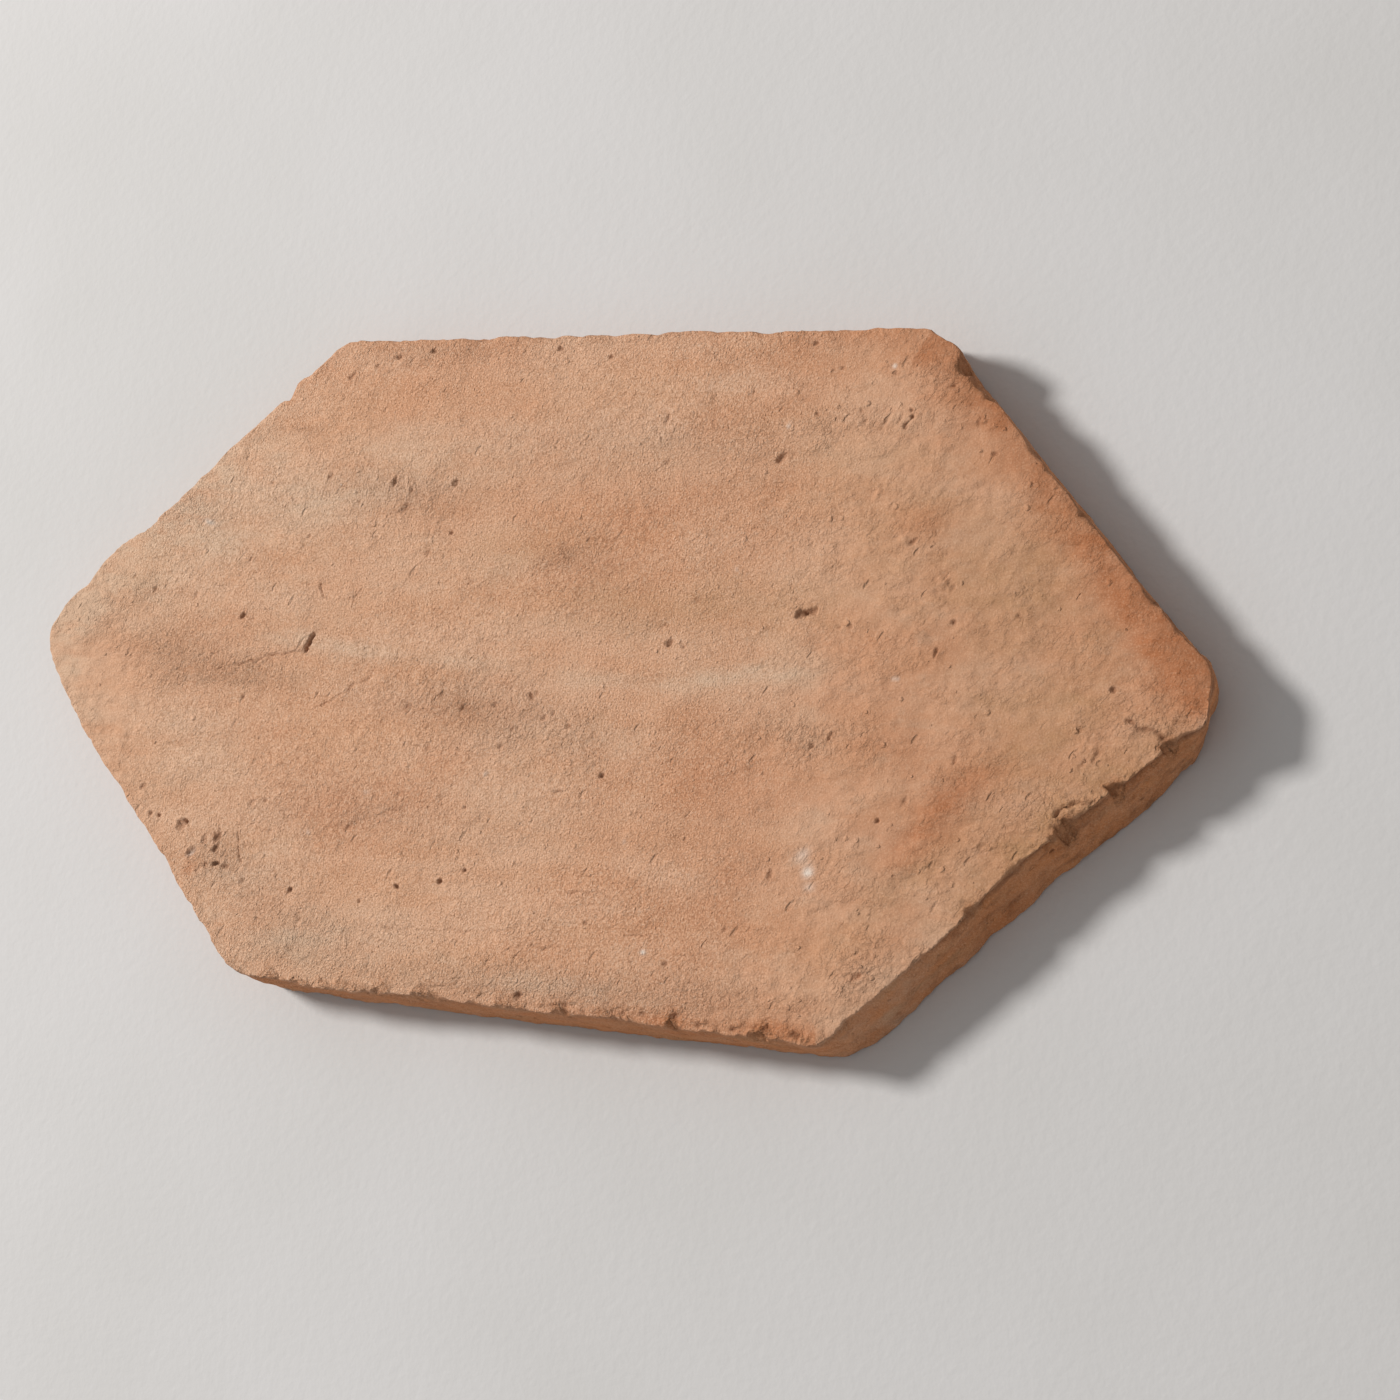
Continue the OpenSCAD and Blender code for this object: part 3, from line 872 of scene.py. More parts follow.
    ember: tuple[Stain, ...] = many(Stain, *(
        (118, 8, 8, 5, 40, 0.2), (190, 6, 15, 16, 0, 0.9), (166, 26, 34, 6, -46, 0.3),
        (194.5, 4, 5, 9, 0, 0.5), (128, -31, 16, 10, 30, 0.3), (54, -30, 22, 14, -8, 0.4),
        (64, -62, 24, 14, 60, 0.35), (122, -38, 26, 7, 48, 0.75), (108, 44, 9, 7, 0, 0.45),
        (104, -14, 18, 9, -20, 0.4), (50, 91, 50, 6, 0, 0.2), (-74, -44, 40, 11, 0, 0.4),
        (-40, -14, 34, 5, 0, 0.25), (20, 44, 16, 8, 20, 0.25), (-110, -26, 26, 8, -8, 0.2),
        (-96, -76, 12, 10, 45, 0.25), (-124.3, -66.9, 3.2, 2.4, 40, 0.9), (72, -90, 30, 6, 0, 0.3),
        (-164, 0, 22, 6, 0, 0.3), (40, 52, 30, 8, 0, 0.25), (100, 92, 14, 8, -45, 0.3),
        (-10, 34, 10, 5, 0, 0.2), (194, -4, 6, 6, 0, 0.4), (85.8, -97.4, 5, 2.2, 0, 0.5),
        (50, -97, 12, 2, 0, 0.3), (88, -96.8, 20, 3, 0, 0.5),
    ))
    dark: tuple[Stain, ...] = many(Stain, *(
        (4, 30, 30, 8, -4, 0.05), (24, 16, 44, 8, 0, 0.05), (-12, 33, 5, 4, 20, 0.12),
        (-110, 71, 14, 2.4, 0, 0.1), (-54, -13, 4, 3, 0, 0.08), (-34, -12, 5, 4, 0, 0.08),
        (188, 4, 11, 16, 10, 0.03), (195, 4, 4.5, 9, 0, 0.07), (194, -3, 5, 5, 0, 0.07),
        # The two wide, faint patches at the right end are painted shade, as the light falls off there.
        (140, 20, 30, 36, 0, 0.05), (130, -34, 20, 14, 0, 0.05),
    ))
    lime: tuple[Stain, ...] = many(Stain, *(
        (87.7, -53.5, 2, 1.6, 0, 1), (85.3, -48.6, 2.6, 1.8, 40, 0.45), (88.9, -57.4, 2.4, 1.5, 0, 0.35),
        (40, -79, 0.9, 0.8, 0, 0.9), (91, 89, 0.8, 0.7, 0, 1), (-63.2, -39.5, 0.7, 0.6, 0, 0.9),
        (-82, -52.2, 0.8, 0.6, 0, 0.9), (50.3, 30.9, 0.6, 0.6, 0, 0.9), (60.5, 72.2, 0.6, 0.6, 0, 0.8),
        (105.3, 1.1, 0.7, 0.6, 0, 0.9), (48.5, 14.4, 0.5, 0.5, 0, 0.8), (28.2, -49, 0.6, 0.5, 0, 0.8),
        (-140.5, 41.4, 3, 1, -15, 0.6), (-124.8, -61.6, 1.8, 0.7, 45, 0.45), (33.1, 83.5, 0.5, 0.5, 0, 0.8),
        (-22.3, -32, 0.9, 0.6, 60, 0.4),
    ))
    rough: tuple[Stain, ...] = many(Stain, *(
        (-30, -12, 44, 12, -10, 1), (-145, 2, 34, 11, -6, 0.8), (-178, 14, 12, 7, 30, 0.6),
        (-70, 52, 34, 9, 0, 0.9), (82, 74, 22, 6, 0, 0.6), (-115, -62, 15, 9, 0, 1),
        (-82, -82, 26, 12, 0, 0.7), (10, -90, 100, 6, 0, 0.8), (80, -16, 30, 8, -10, 0.8),
        (108, -80, 14, 9, 45, 1), (-8, 34, 14, 7, 0, 0.6), (186, -8, 12, 10, 0, 0.8),
        (20, 68, 60, 10, 0, 0.45), (-60, -46, 50, 8, 0, 0.5), (104, 88, 14, 10, -40, 0.6),
        (-62, 96, 44, 5, 0, 0.7), (150, -34, 40, 9, 42, 0.5), (-148, 46, 16, 8, -20, 0.6),
        (-122, -6, 26, 4.5, -3, 1), (-166, 16, 12, 6, 30, 0.7),
    ))
    strokes: Grain = Grain(21)
    lumps: Grain = Grain(22)
    grit: Grain = Grain(23)
    breaks: Grain = Grain(31)
    rough_seed: int = 11
    stain_seed: int = 41
    fine_room: float = 0.7
    fine_margin: float = 0.5
    crack_room: float = 2.0
    crack_margin: float = 0.75
    lattice_gap: float = 0.35

    def base(self, x: Array, y: Array) -> Array:
        """The face's broad hollows between strokes, as in the solid."""
        a, b, c = np.radians(0.95 * x + 35), np.radians(1.7 * y - 15), np.radians(0.5 * x - 2.4 * y + 80)
        return THICKNESS - self.hollow * (0.5 + 0.22 * np.sin(a) * np.cos(b) + 0.28 * np.sin(c))

    def lay(self, mark: Mark, patches: tuple[Stain, ...], skin: Skin, seed: int) -> None:
        """Lay all the patches of one mark over the face.

        Args:
            mark: The mark that they add to.
            patches: The patches.
            skin: The face, its marks changed in place.
            seed: Which noise feathers them.
        """
        feather = 1 + 0.28 * Grain(seed).layered(skin.x / 22, skin.y / 9, 3)
        for patch in patches:
            patch.lay(mark, skin, feather)

    def shape(self, skin: Skin, inland: Array) -> None:
        """Give the face its relief, and mark what lies on it.

        Args:
            skin: The face, changed in place.
            inland: 0 at the edge to 1 well inside, which calms the relief near the rim.
        """
        x, y, values = skin.x, skin.y, skin.marks.values
        self.lay(ROUGH, self.rough, skin, self.rough_seed)
        rough = values[ROUGH]
        calm = np.maximum(smooth(20.0, 120.0, x), 0.75 * smooth(-135.0, -180.0, x + 0.3 * y))
        values[CALM] = calm
        slant, across = 0.62 * x - 0.78 * y, 0.78 * x + 0.62 * y
        struck = 0.10 * self.strokes.layered(x / 70, y / 7.5, 3, 0.55)
        broad = (0.08 + 0.32 * calm) * self.lumps.layered(x / 11, y / 8, 3, 0.6)
        small = (0.07 + 0.11 * rough + 0.05 * calm) * self.lumps.layered(x / 4.4, y / 3.3, 2, 0.7)
        sandy = smooth(0.0, 0.25, self.grit.layered(slant / 3.1, across / 4.6, 2))
        dragged = smooth(0.45, 0.95, self.grit.layered(slant / 2.5 + 9, across / 4, 2))
        skin.high += inland * (struck + broad + small + (0.05 + 0.12 * rough) * sandy
                               - (0.10 + 0.34 * rough) * dragged)
        for mark in self.cracks + self.rises + self.pits:
            mark.cut(skin, self.breaks)
        for mark, patches in ((PALE, self.pale), (BUFF, self.buff), (EMBER, self.ember),
                              (DARK, self.dark), (LIME, self.lime)):
            self.lay(mark, patches, skin, self.stain_seed + len(mark))

    def spread(self, box: Sizes, step: float, fine_step: float) -> Array:
        """Scatter mesh points over a box: a lattice, closer round every pit, crack and scab.

        Args:
            box: Its left, right, near and far sides.
            step: The lattice's spacing.
            fine_step: Its spacing round the marks.

        Returns:
            The points, not yet trimmed to the outline.
        """
        coarse = lattice(box, step)
        coarse = coarse[~self.touched(coarse[:, 0], coarse[:, 1], self.lattice_gap)]
        groups = []
        for mark in self.pits + self.rises:
            r = mark.reach(self.fine_room)
            groups.append(lattice((mark.x - r, mark.x + r, mark.y - r, mark.y + r), fine_step))
        for crack in self.cracks:
            (left, low), (right, high) = np.min(crack.points, 0), np.max(crack.points, 0)
            r = self.crack_room
            groups.append(lattice((left - r, right + r, low - r, high + r), fine_step))
        fine = np.concatenate(groups)
        fine = fine[self.touched(fine[:, 0], fine[:, 1], 0)]
        cell = np.round(fine / fine_step * 1.6).astype(np.int64)
        _, first = np.unique(cell, axis=0, return_index=True)
        return np.concatenate([coarse, fine[np.sort(first)]])

    def touched(self, x: Array, y: Array, margin: float) -> Array:
        """Say which places lie on a pit, crack or scab, or within a margin of one.

        Args:
            x: Places along the tile.
            y: Places across it.
            margin: How near counts.

        Returns:
            True for each place that does.
        """
        hit = np.zeros(len(x), bool)
        for mark in self.pits + self.rises:
            hit |= np.hypot(x - mark.x, y - mark.y) < mark.reach(self.fine_margin) + margin
        for crack in self.cracks:
            hit |= crack.distance(x, y) < crack.half_wide + self.crack_margin + margin
        return hit


# ---- the edges


@dataclass
class BrokenEdges:
    """The rounded, bitten and crumbled edges of the face and of the bed, and the cut walls.

    The tuples of six give a value for each wall, in the order of Side.
    """

    face_wear: float = 1.1
    bed_wear: float = 1.0
    ripple: float = 0.5
    face_bites: tuple[Bite, ...] = many(Bite, *(
        (FR, 0.24, 5, 0.6, 1.5), (FR, 0.46, 5, 0.7, 2), (FR, 0.64, 5, 0.6, 1.5), (FR, 0.82, 9, 1.4, 5),
        (FR, 0.88, 4, 2.4, 8), (FA, 0.12, 7, 0.3, 1.5), (FA, 0.26, 4, 0.6, 1.5), (FA, 0.62, 5, 0.4, 2.5),
        (FA, 0.75, 6, 0.4, 2), (FL, 0.175, 4, 1.2, 3), (FL, 0.42, 4, 0.5, 2), (FL, 0.615, 5, 0.9, 4),
        (NL, 0.2, 7, 0.3, 2), (NL, 0.46, 4, 0.5, 2), (NL, 0.68, 5, 0.4, 2), (NL, 0.87, 4, 0.8, 3),
        (NE, 0.1, 6, 0.8, 2), (NE, 0.26, 5, 0.9, 2), (NE, 0.36, 7, 1.1, 2.2), (NE, 0.5, 4, 0.7, 1.8),
        (NE, 0.59, 4, 1.1, 2), (NE, 0.69, 8, 0.9, 2), (NE, 0.775, 3.2, 2, 2.6), (NE, 0.91, 4, 1.9, 2.6),
        (NR, 0.06, 5, 0.5, 1.4), (NR, 0.24, 6, 0.5, 1.6), (NR, 0.39, 4, 1.6, 3), (NR, 0.5, 5, 0.7, 2),
        (NR, 0.615, 6.5, 2.2, 6.5), (NR, 0.735, 3.2, 3, 4), (NR, 0.86, 3.6, 2.6, 4.5),
    ))
    bed_bites: tuple[Bite, ...] = many(Bite, *(
        (FR, 0, 14, 1, 6), (FR, 0.5, 9, 0.8, 1.2), (FR, 0.85, 10, 1, 1.6), (FA, 0.25, 9, 0.8, 1.4),
        (FA, 0.66, 12, 1, 1.5), (FL, 0.35, 8, 0.8, 1.2), (FL, 0.8, 7, 1, 1.4), (NL, 0.3, 8, 1, 1.3),
        (NL, 0.75, 9, 0.8, 1.4), (NE, 0.22, 9, 0.5, 1.2), (NE, 0.86, 8, 0.5, 1.2), (NR, 0.335, 5, 0.5, 1.4),
        (NR, 0.64, 5, 0.7, 2), (NR, 0.9, 6, 1, 2.5),
    ))
    pocks: tuple[Pock, ...] = many(Pock, *(
        (NR, 0.573, 16.3, 1.7, 1.1), (NR, 0.577, 12.4, 1.5, 1.2), (NR, 0.592, 11.6, 1.1, 0.8),
        (NR, 0.333, 15.2, 1.6, 1), (NR, 0.417, 15.8, 1.2, 0.6), (NR, 0.7, 14, 1.1, 0.7),
        (NR, 0.667, 12, 1, 0.6), (NR, 0.143, 4.5, 1.2, 0.8), (NR, 0.8, 12, 1.2, 0.6),
        (NR, 0.46, 6, 1.3, 0.6), (NR, 0.27, 8.5, 1, 0.6), (NE, 0.18, 11, 1.2, 0.7), (NE, 0.63, 8, 1.5, 0.8),
        (NE, 0.44, 5.5, 1.1, 0.6), (NL, 0.35, 9, 1.4, 0.8), (NL, 0.7, 12, 1.3, 0.8), (FL, 0.3, 7, 1.5, 0.8),
        (FL, 0.66, 11, 1.2, 0.7), (FA, 0.2, 9, 1.4, 0.8), (FA, 0.55, 6, 1.5, 0.9), (FA, 0.83, 12, 1.2, 0.7),
        (FR, 0.35, 8, 1.5, 0.8), (FR, 0.7, 11, 1.3, 0.8),
    ))
    jagged: Sizes = (0.8, 0.8, 0.7, 0.7, 1.1, 1.1)
    sharp: Sizes = (0.9, 0.8, 0.9, 0.9, 0.7, 0.45)
    under: Sizes = (0.2, 0.2, 0.2, 0.2, 0.25, 0.95)
    drawn_out: float = 0.4
    proud: Sizes = (0.7, 0.7, 0.8, 0.8, 2.0, 1.8)
    crumbs_apart: Sizes = (4.5, 4.5, 6.0, 6.0, 1.7, 2.4)
    crumb_strength: Sizes = (0.9, 0.9, 0.9, 0.9, 1.5, 1.3)
    crumb_seed: int = 7
    corner_ease: float = 5.0
    torn: Grain = Grain(53)
    flakes: Grain = Grain(54)
    outline: CutOutline = field(default_factory=CutOutline)
    crumbs: list[Chip] = field(init=False)

    def __post_init__(self) -> None:
        """Scatter the small chips of the face edge."""
        dice = np.random.default_rng(self.crumb_seed)
        self.crumbs = []
        for side in Side:
            start, end = self.outline.starts[side], self.outline.starts[side + 1]
            for _ in range(int((end - start) / self.crumbs_apart[side])):
                size = dice.random() ** 2
                self.crumbs.append(Chip(float(dice.uniform(start, end)), 0.6 + 1.7 * size,
                                        self.crumb_strength[side] * (0.2 + 0.65 * size), 0.3 + 0.9 * size))

    def wave(self, around: Array, waves: float, lag: float) -> Array:
        """A gentle wave round the outline, 0 to 1, as in the solid."""
        turn = 2 * math.pi * waves * around / self.outline.starts[SIDES]
        return 0.5 + 0.5 * np.sin(turn + math.radians(lag))

    def deepest(self, chips: list[Chip], around: Array, down: bool) -> Array:
        """How deep in, or how far down, the deepest of some chips reaches at each point.

        Args:
            chips: The chips.
            around: Distances round.
            down: Whether to say how far down.

        Returns:
            The depth at each point.
        """
        deep = np.zeros(len(around))
        for chip in chips:
            gap = self.outline.apart(around, chip.place)
            deep = np.maximum(deep, (chip.down if down else chip.deep) * swell(gap / chip.half_run))
        return deep

    def bitten(self, bites: tuple[Bite, ...], around: Array, down: bool) -> Array:
        """How deep in, or how far down, the bites reach at each point, unevenly torn."""
        chips = [Chip(self.outline.place(b.side, b.share), b.half_run, b.deep, b.down) for b in bites]
        return self.deepest(chips, around, down) * (0.62 + 0.5 * self.torn.chips(around, 1.7, 2.0 * down))

    def crumbled(self, around: Array, down: bool) -> Array:
        """How deep in, or how far down, the small chips reach at each point.

        Args:
            around: Distances round.
            down: Whether to say how far down.

        Returns:
            The depth at each point.
        """
        deep = self.deepest(self.crumbs, around, down)
        often = smooth(0.0, 0.5, 0.35 + self.flakes.layered(around / 14, 1, 2))
        jag = 0.55 * self.flakes.chips(around, 2.1) ** 1.5 + 0.3 * self.flakes.chips(around, 0.85, 1.0)
        from_tip = self.outline.apart(around, self.outline.place(Side.FAR_RIGHT, 0.0))
        tip = 0.2 + 0.8 * smooth(3.0, 9.0, from_tip)
        chip = (0.75 * deep + jag * (0.35 + 0.65 * often) * self.by_wall(around, self.jagged)) * tip
        return 0.6 * chip + 0.3 * deep if down else chip - self.drawn_out * self.by_wall(around, self.proud)

    def by_wall(self, around: Array, values: Sizes) -> Array:
        """Read a value given for each wall at each point, eased from one wall to the next."""
        knots = np.repeat(self.outline.starts, 2) + [-self.corner_ease, self.corner_ease] * (SIDES + 1)
        return np.interp(around, knots, np.repeat([values[-1], *values, values[0]], 2)[1:-1])

    def pocked(self, around: Array, high: Array) -> Array:
        """How deep the pits of the walls reach at each point.

        Args:
            around: Distances round.
            high: Heights.

        Returns:
            The depth at each point.
        """
        deep = np.zeros(len(around))
        for pock in self.pocks:
            gap = np.hypot(self.outline.apart(around, self.outline.place(pock.side, pock.share)),
                           high - pock.high)
            deep = np.maximum(deep, pock.deep * swell(gap / pock.radius))
        return deep

    def on_wall(self, trace: Trace, high: Array, wear: Array,
                bite: Array | float) -> Array:
        """Find points on the walls.

        Args:
            trace: The outline.
            high: Each point's height.
            wear: How far it is worn in, square to the wall.
            bite: How far it is bitten in, towards the middle.

        Returns:
            The points, in three columns.
        """
        towards = trace.face / (trace.face * trace.out).sum(1)[:, None]
        flat = (trace.bed + (trace.face - trace.bed) * (high / THICKNESS)[:, None]
                - trace.out * wear[:, None] - towards * np.broadcast_to(bite, high.shape)[:, None])
        return np.column_stack([flat, high])

    def wall_in(self, around: Array, share: float) -> Array:
        """How far the wire's ripples draw the wall in, at a share of its height."""
        return self.ripple * (0.5 * self.wave(around + 30 * share, 17, 140)
                              + 0.5 * self.wave(around - 40 * share, 11, 60))


@dataclass
class Walls:
    """The rings of the body, from the bed edge up the cut walls and round the face edge a little in."""

    trace: Trace
    edges: BrokenEdges
    top: Array
    shift: Array
    rows: int = 16
    bed_turns: Sizes = (0, 30, 60, 90)
    face_turns: Sizes = (15, 32, 50, 68, 84)
    # How strongly each wall is given painted shade: a dark line under its face edge and darker patches.
    shaded_by_wall: Sizes = (0.5, 0.1, 0.1, 0.1, 0.1, 0.6)
    bare_by_wall: Sizes = (0.3, 0.1, 0.0, 0.1, 0.7, 0.6)
    bed_in_by_wall: Sizes = (0.0, 0.0, 0.0, 0.0, 0.9, 0.0)
    joined: Sizes = (1.0, 0.85, 0.6, 0.35, 0.15)
    joined_deep: int = 8
    coarse: Grain = Grain(51)
    fine: Grain = Grain(52)
    rings: list[Array] = field(init=False)
    marks: list[Marks] = field(init=False)
    under: Array = field(init=False)
    bare: Array = field(init=False)
    shaded: Array = field(init=False)
    near_tip: Array = field(init=False)
    first_part: Array = field(init=False)

    def __post_init__(self) -> None:
        """Read off what each ring needs, then build the rings from the bed up."""
        around = self.trace.around
        self.rings, self.marks = [], []
        self.under = self.edges.by_wall(around, self.edges.under)
        self.bare = self.edges.by_wall(around, self.bare_by_wall)
        self.near_tip = self.near(Side.FAR_RIGHT, 0.05, 14)
        self.first_part = self.near(Side.NEAR_RIGHT, 0.15, 22)
        self.shaded = self.edges.by_wall(around, self.shaded_by_wall) * (1 - 0.9 * self.first_part)
        self.build()

    def near(self, side: Side, share: float, wide: float) -> Array:
        """One at a place on a wall, fading to nothing over a width on both sides."""
        outline = self.edges.outline
        return np.exp(-(outline.apart(self.trace.around, outline.place(side, share)) / wide) ** 2)

    def bed_edge(self) -> tuple[Array, Array]:
        """Wear the bed's edge.

        Returns:
            How far up the wall it is worn, and how far in.
        """
        edges, around = self.edges, self.trace.around
        up = edges.bed_wear + edges.bitten(edges.bed_bites, around, True) \
            + 0.3 * np.clip(self.fine.layered(around / 4, 9, 2), 0, 1)
        inward = edges.bed_wear + edges.bitten(edges.bed_bites, around, False) \
            + 0.9 * self.fine.chips(around, 3.1, 5.0) ** 2 + 0.35 * self.coarse.layered(around / 7, 4, 2)
        return up, inward + edges.by_wall(around, self.bed_in_by_wall) + 1.3 * self.near_tip

    def face_edge(self) -> tuple[Array, Array]:
        """Wear the face's edge.

        Returns:
            How far down the wall it is worn, and how far in.
        """
        edges, around = self.edges, self.trace.around
        sharp = edges.by_wall(around, edges.sharp)
        down = (sharp * edges.face_wear * (0.75 + 0.25 * edges.wave(around, 19, 200))
                + np.maximum(edges.bitten(edges.face_bites, around, True), edges.crumbled(around, True)))
        wear = 0.5 * self.near_tip + sharp * edges.face_wear * (0.75 + 0.25 * edges.wave(around, 23, 90)) \
            + 0.25 * np.clip(self.fine.layered(around / 2.4, 2, 3, 0.7), -0.9, 1.1)
        return down + 0.6 * self.near_tip, wear

    def build(self) -> None:
        """Build the rings: round the bed edge, up the wall, then round the face edge."""
        edges, around = self.edges, self.trace.around
        bite_in, chip_in = edges.bitten(edges.face_bites, around, False), edges.crumbled(around, False)
        scoop = np.clip((bite_in + 0.8 * chip_in) / 2, 0, 1)
        broken = smooth(0.25, 2.2, bite_in + 1.2 * chip_in)
        down, wear = self.face_edge()
        bed_up, bed_in = self.bed_edge()
        none = np.zeros(len(around))
        for turn in self.bed_turns:
            angle = math.radians(turn)
            self.add(bed_up * (1 - math.cos(angle)), edges.wall_in(around, 0.0)
                     + bed_in * (1 - math.sin(angle)), 0.0, none, min(1.0, turn / 60))
        for row in range(1, self.rows + 1):
            share = row / self.rows
            self.add(bed_up + (self.top - down - bed_up) * share, edges.wall_in(around, share),
                     0.0, broken * smooth(0.55, 1.0, share), 1.0)
        for turn in self.face_turns:
            angle = math.radians(turn)
            lift = (1 - scoop) * (1 - math.sin(angle)) + scoop * math.cos(angle)
            inward = (1 - scoop) * (1 - math.cos(angle)) + scoop * math.sin(angle)
            self.add(self.top - down * lift, edges.wall_in(around, 1.0) + wear * inward,
                     (bite_in + chip_in) * inward, broken, 0.8)

    def add(self, high: Array, worn: Array, bite: Array | float, fresh: Array,
            rough: float) -> None:
        """Add a ring.

        Args:
            high: Its heights.
            worn: How far it is worn in, square to the wall.
            bite: How far it is bitten in, towards the middle.
            fresh: Where its clay is freshly broken.
            rough: How rough its skin is.
        """
        around, coarse, fine = self.trace.around, self.coarse, self.fine
        skin = coarse.layered(around / 10, high / 4 + 3, 2) * 0.22 \
            + fine.layered(around / 2.6, high / 1.5 + 11, 2) * 0.12 \
            + coarse.layered(around / 26, high / 1.5, 2) * 0.14
        lump = coarse.layered(around / 5.5, high / 4.5 + 23, 2) * 0.34
        torn = fine.layered(around / 2.1, high / 1.8 + 40, 3, 0.6) * 0.7 * fresh
        pock = self.edges.pocked(around, high)
        ledge = np.exp(-((high - 16.9) / 0.95) ** 2) * self.under \
            * (0.7 + 0.6 * coarse.layered(around / 9, 8, 2))
        inset = worn + rough * (skin + lump + ledge.clip(0, 1.2)) + torn + pock
        point = self.edges.on_wall(self.trace, high, inset, bite)
        point[:, :2] -= self.shift
        self.rings.append(point)
        self.marks.append(self.marked(high, fresh, pock))

    def marked(self, high: Array, fresh: Array, pock: Array) -> Marks:
        """Mark a ring's points.

        Args:
            high: Their heights.
            fresh: Where their clay is freshly broken.
            pock: How deep in a pit each lies.

        Returns:
            The marks.
        """
        around, coarse, mark = self.trace.around, self.coarse, Marks(len(high))
        # The walls' cut-clay and hotter colours are partly the clay's own and partly painted warm light
        # bounced onto them.
        mark.raise_to(CUT, (0.85 + 0.3 * coarse.layered(around / 14, high / 5 + 12, 2))
                      * (1 - (1 - self.bare) * smooth(15.5, 18.0, high)))
        mark.raise_to(CALM, 0.7)
        mark.raise_to(EMBER, 0.10 + 0.5 * coarse.layered(around / 22, high / 6, 2))
        mark.raise_to(BUFF, 0.6 * coarse.layered(around / 17 + 5, high / 5 + 70, 2))
        # Painted light: paler where the near right wall starts, by its rounded corner.
        mark.raise_to(PALE, self.first_part
                      * (0.3 + 0.4 * coarse.layered(around / 12, high / 6 + 7, 2)))
        # Darker in the walls' pits: grime and painted shade.
        mark.raise_to(DARK, 0.45 * pock)
        # Painted shade: a dark line right under the face edge, where it overhangs the wall.
        mark.raise_to(DARK, self.shaded * smooth(15.4, 17.0, high) * smooth(18.5, 17.7, high)
                      * (1 + 0.6 * coarse.at(around / 5, 0)))
        # Darker patches, strongest on the walls turned from the lamp: painted shade as well as the walls' own
        # blotches.
        mark.raise_to(DARK, self.shaded * 0.8
                      * smooth(0.0, 0.9, coarse.layered(around / 9, high / 3 + 50, 3)))
        mark.raise_to(DARK, 0.08 * fresh * smooth(-0.2, 0.7, coarse.at(around / 4, high / 3)))
        mark.raise_to(BROKEN, fresh)
        mark.raise_to(ROUGH, 0.45 + 0.5 * fresh)
        return mark

    def join(self, number: Array, values: dict[Mark, Array]) -> None:
        """Ease the face's marks into the rings nearest to it.

        Args:
            number: The points of the outline that the face has values at.
            values: The face's marks there.
        """
        for share, marks in zip(self.joined, reversed(self.marks)):
            for mark, own in marks.values.items():
                own[number] += share * (values[mark] - own[number])
        for mark in (PALE, BUFF, EMBER, LIME):
            joined = np.zeros(len(self.trace.around))
            joined[number] = values[mark]
            for below, marks in zip(range(self.joined_deep), reversed(self.marks)):
                marks.raise_to(mark, joined * (1 - below / self.joined_deep))

    def triangles(self) -> tuple[Array, Array]:
        """Join the rings with triangles.

        Returns:
            The triangles, and the ring and column that each of their corners stands at.
        """
        count = len(self.trace.around)
        row, here = np.meshgrid(np.arange(len(self.rings) - 1), np.arange(count), indexing="ij")
        row, here = row.ravel(), here.ravel()
        low, low_ahead, up, up_ahead = (np.stack([row + rise, here + ahead], 1)
                                        for rise in (0, 1) for ahead in (0, 1))
        corners = np.concatenate([np.stack([low, low_ahead, up_ahead], 1), np.stack([low, up_ahead, up], 1)])
        return corners[:, :, 0] * count + corners[:, :, 1] % count, corners


# ---- the body


class Patch(IntEnum):
    """Which part of the skin a triangle belongs to, for its place in the colour map."""

    FACE = 0
    WALL = 1
    BED = 2


@dataclass(frozen=True)
class ColourMap:
    """The skin laid out flat: the face above, the bed below it, the walls in strips."""

    name: str = "OFBake"
    span: float = 0.98
    face_at: Sizes = (0.5, 0.74)
    bed_at: Sizes = (0.30, 0.33)
    bed_share: float = 0.58
    strips: int = 3
    strip_from: Sizes = (0.01, 0.006)
    strip_rise: float = 0.056
    strip_high: float = 0.05

    def lay(self, points: Array, faces: Array, patches: Array,
            strip_map: Array) -> Array:
        """Lay the skin out.

        Args:
            points: The points, in millimetres.
            faces: The triangles.
            patches: The part of the skin that each belongs to.
            strip_map: The ring and column of each wall triangle's corners.

        Returns:
            A place on the map for each corner of each triangle.
        """
        flat = points[faces][:, :, :2]
        scale = self.span / np.ptp(points[:, 0])
        uv = np.zeros(flat.shape)
        top, bed = patches == Patch.FACE, patches == Patch.BED
        uv[top] = flat[top] * scale + np.array(self.face_at)
        uv[bed] = flat[bed] * scale * np.array([-self.bed_share, self.bed_share]) + np.array(self.bed_at)
        row, column = strip_map[:, :, 0], strip_map[:, :, 1]
        strip = (column.min(1) * self.strips // column.max())[:, None]
        share = column * self.strips / column.max() - strip
        uv[patches == Patch.WALL] = np.stack([
            self.strip_from[0] + self.span * share,
            self.strip_from[1] + self.strip_rise * strip + self.strip_high * row / row.max()], 2)
        return uv


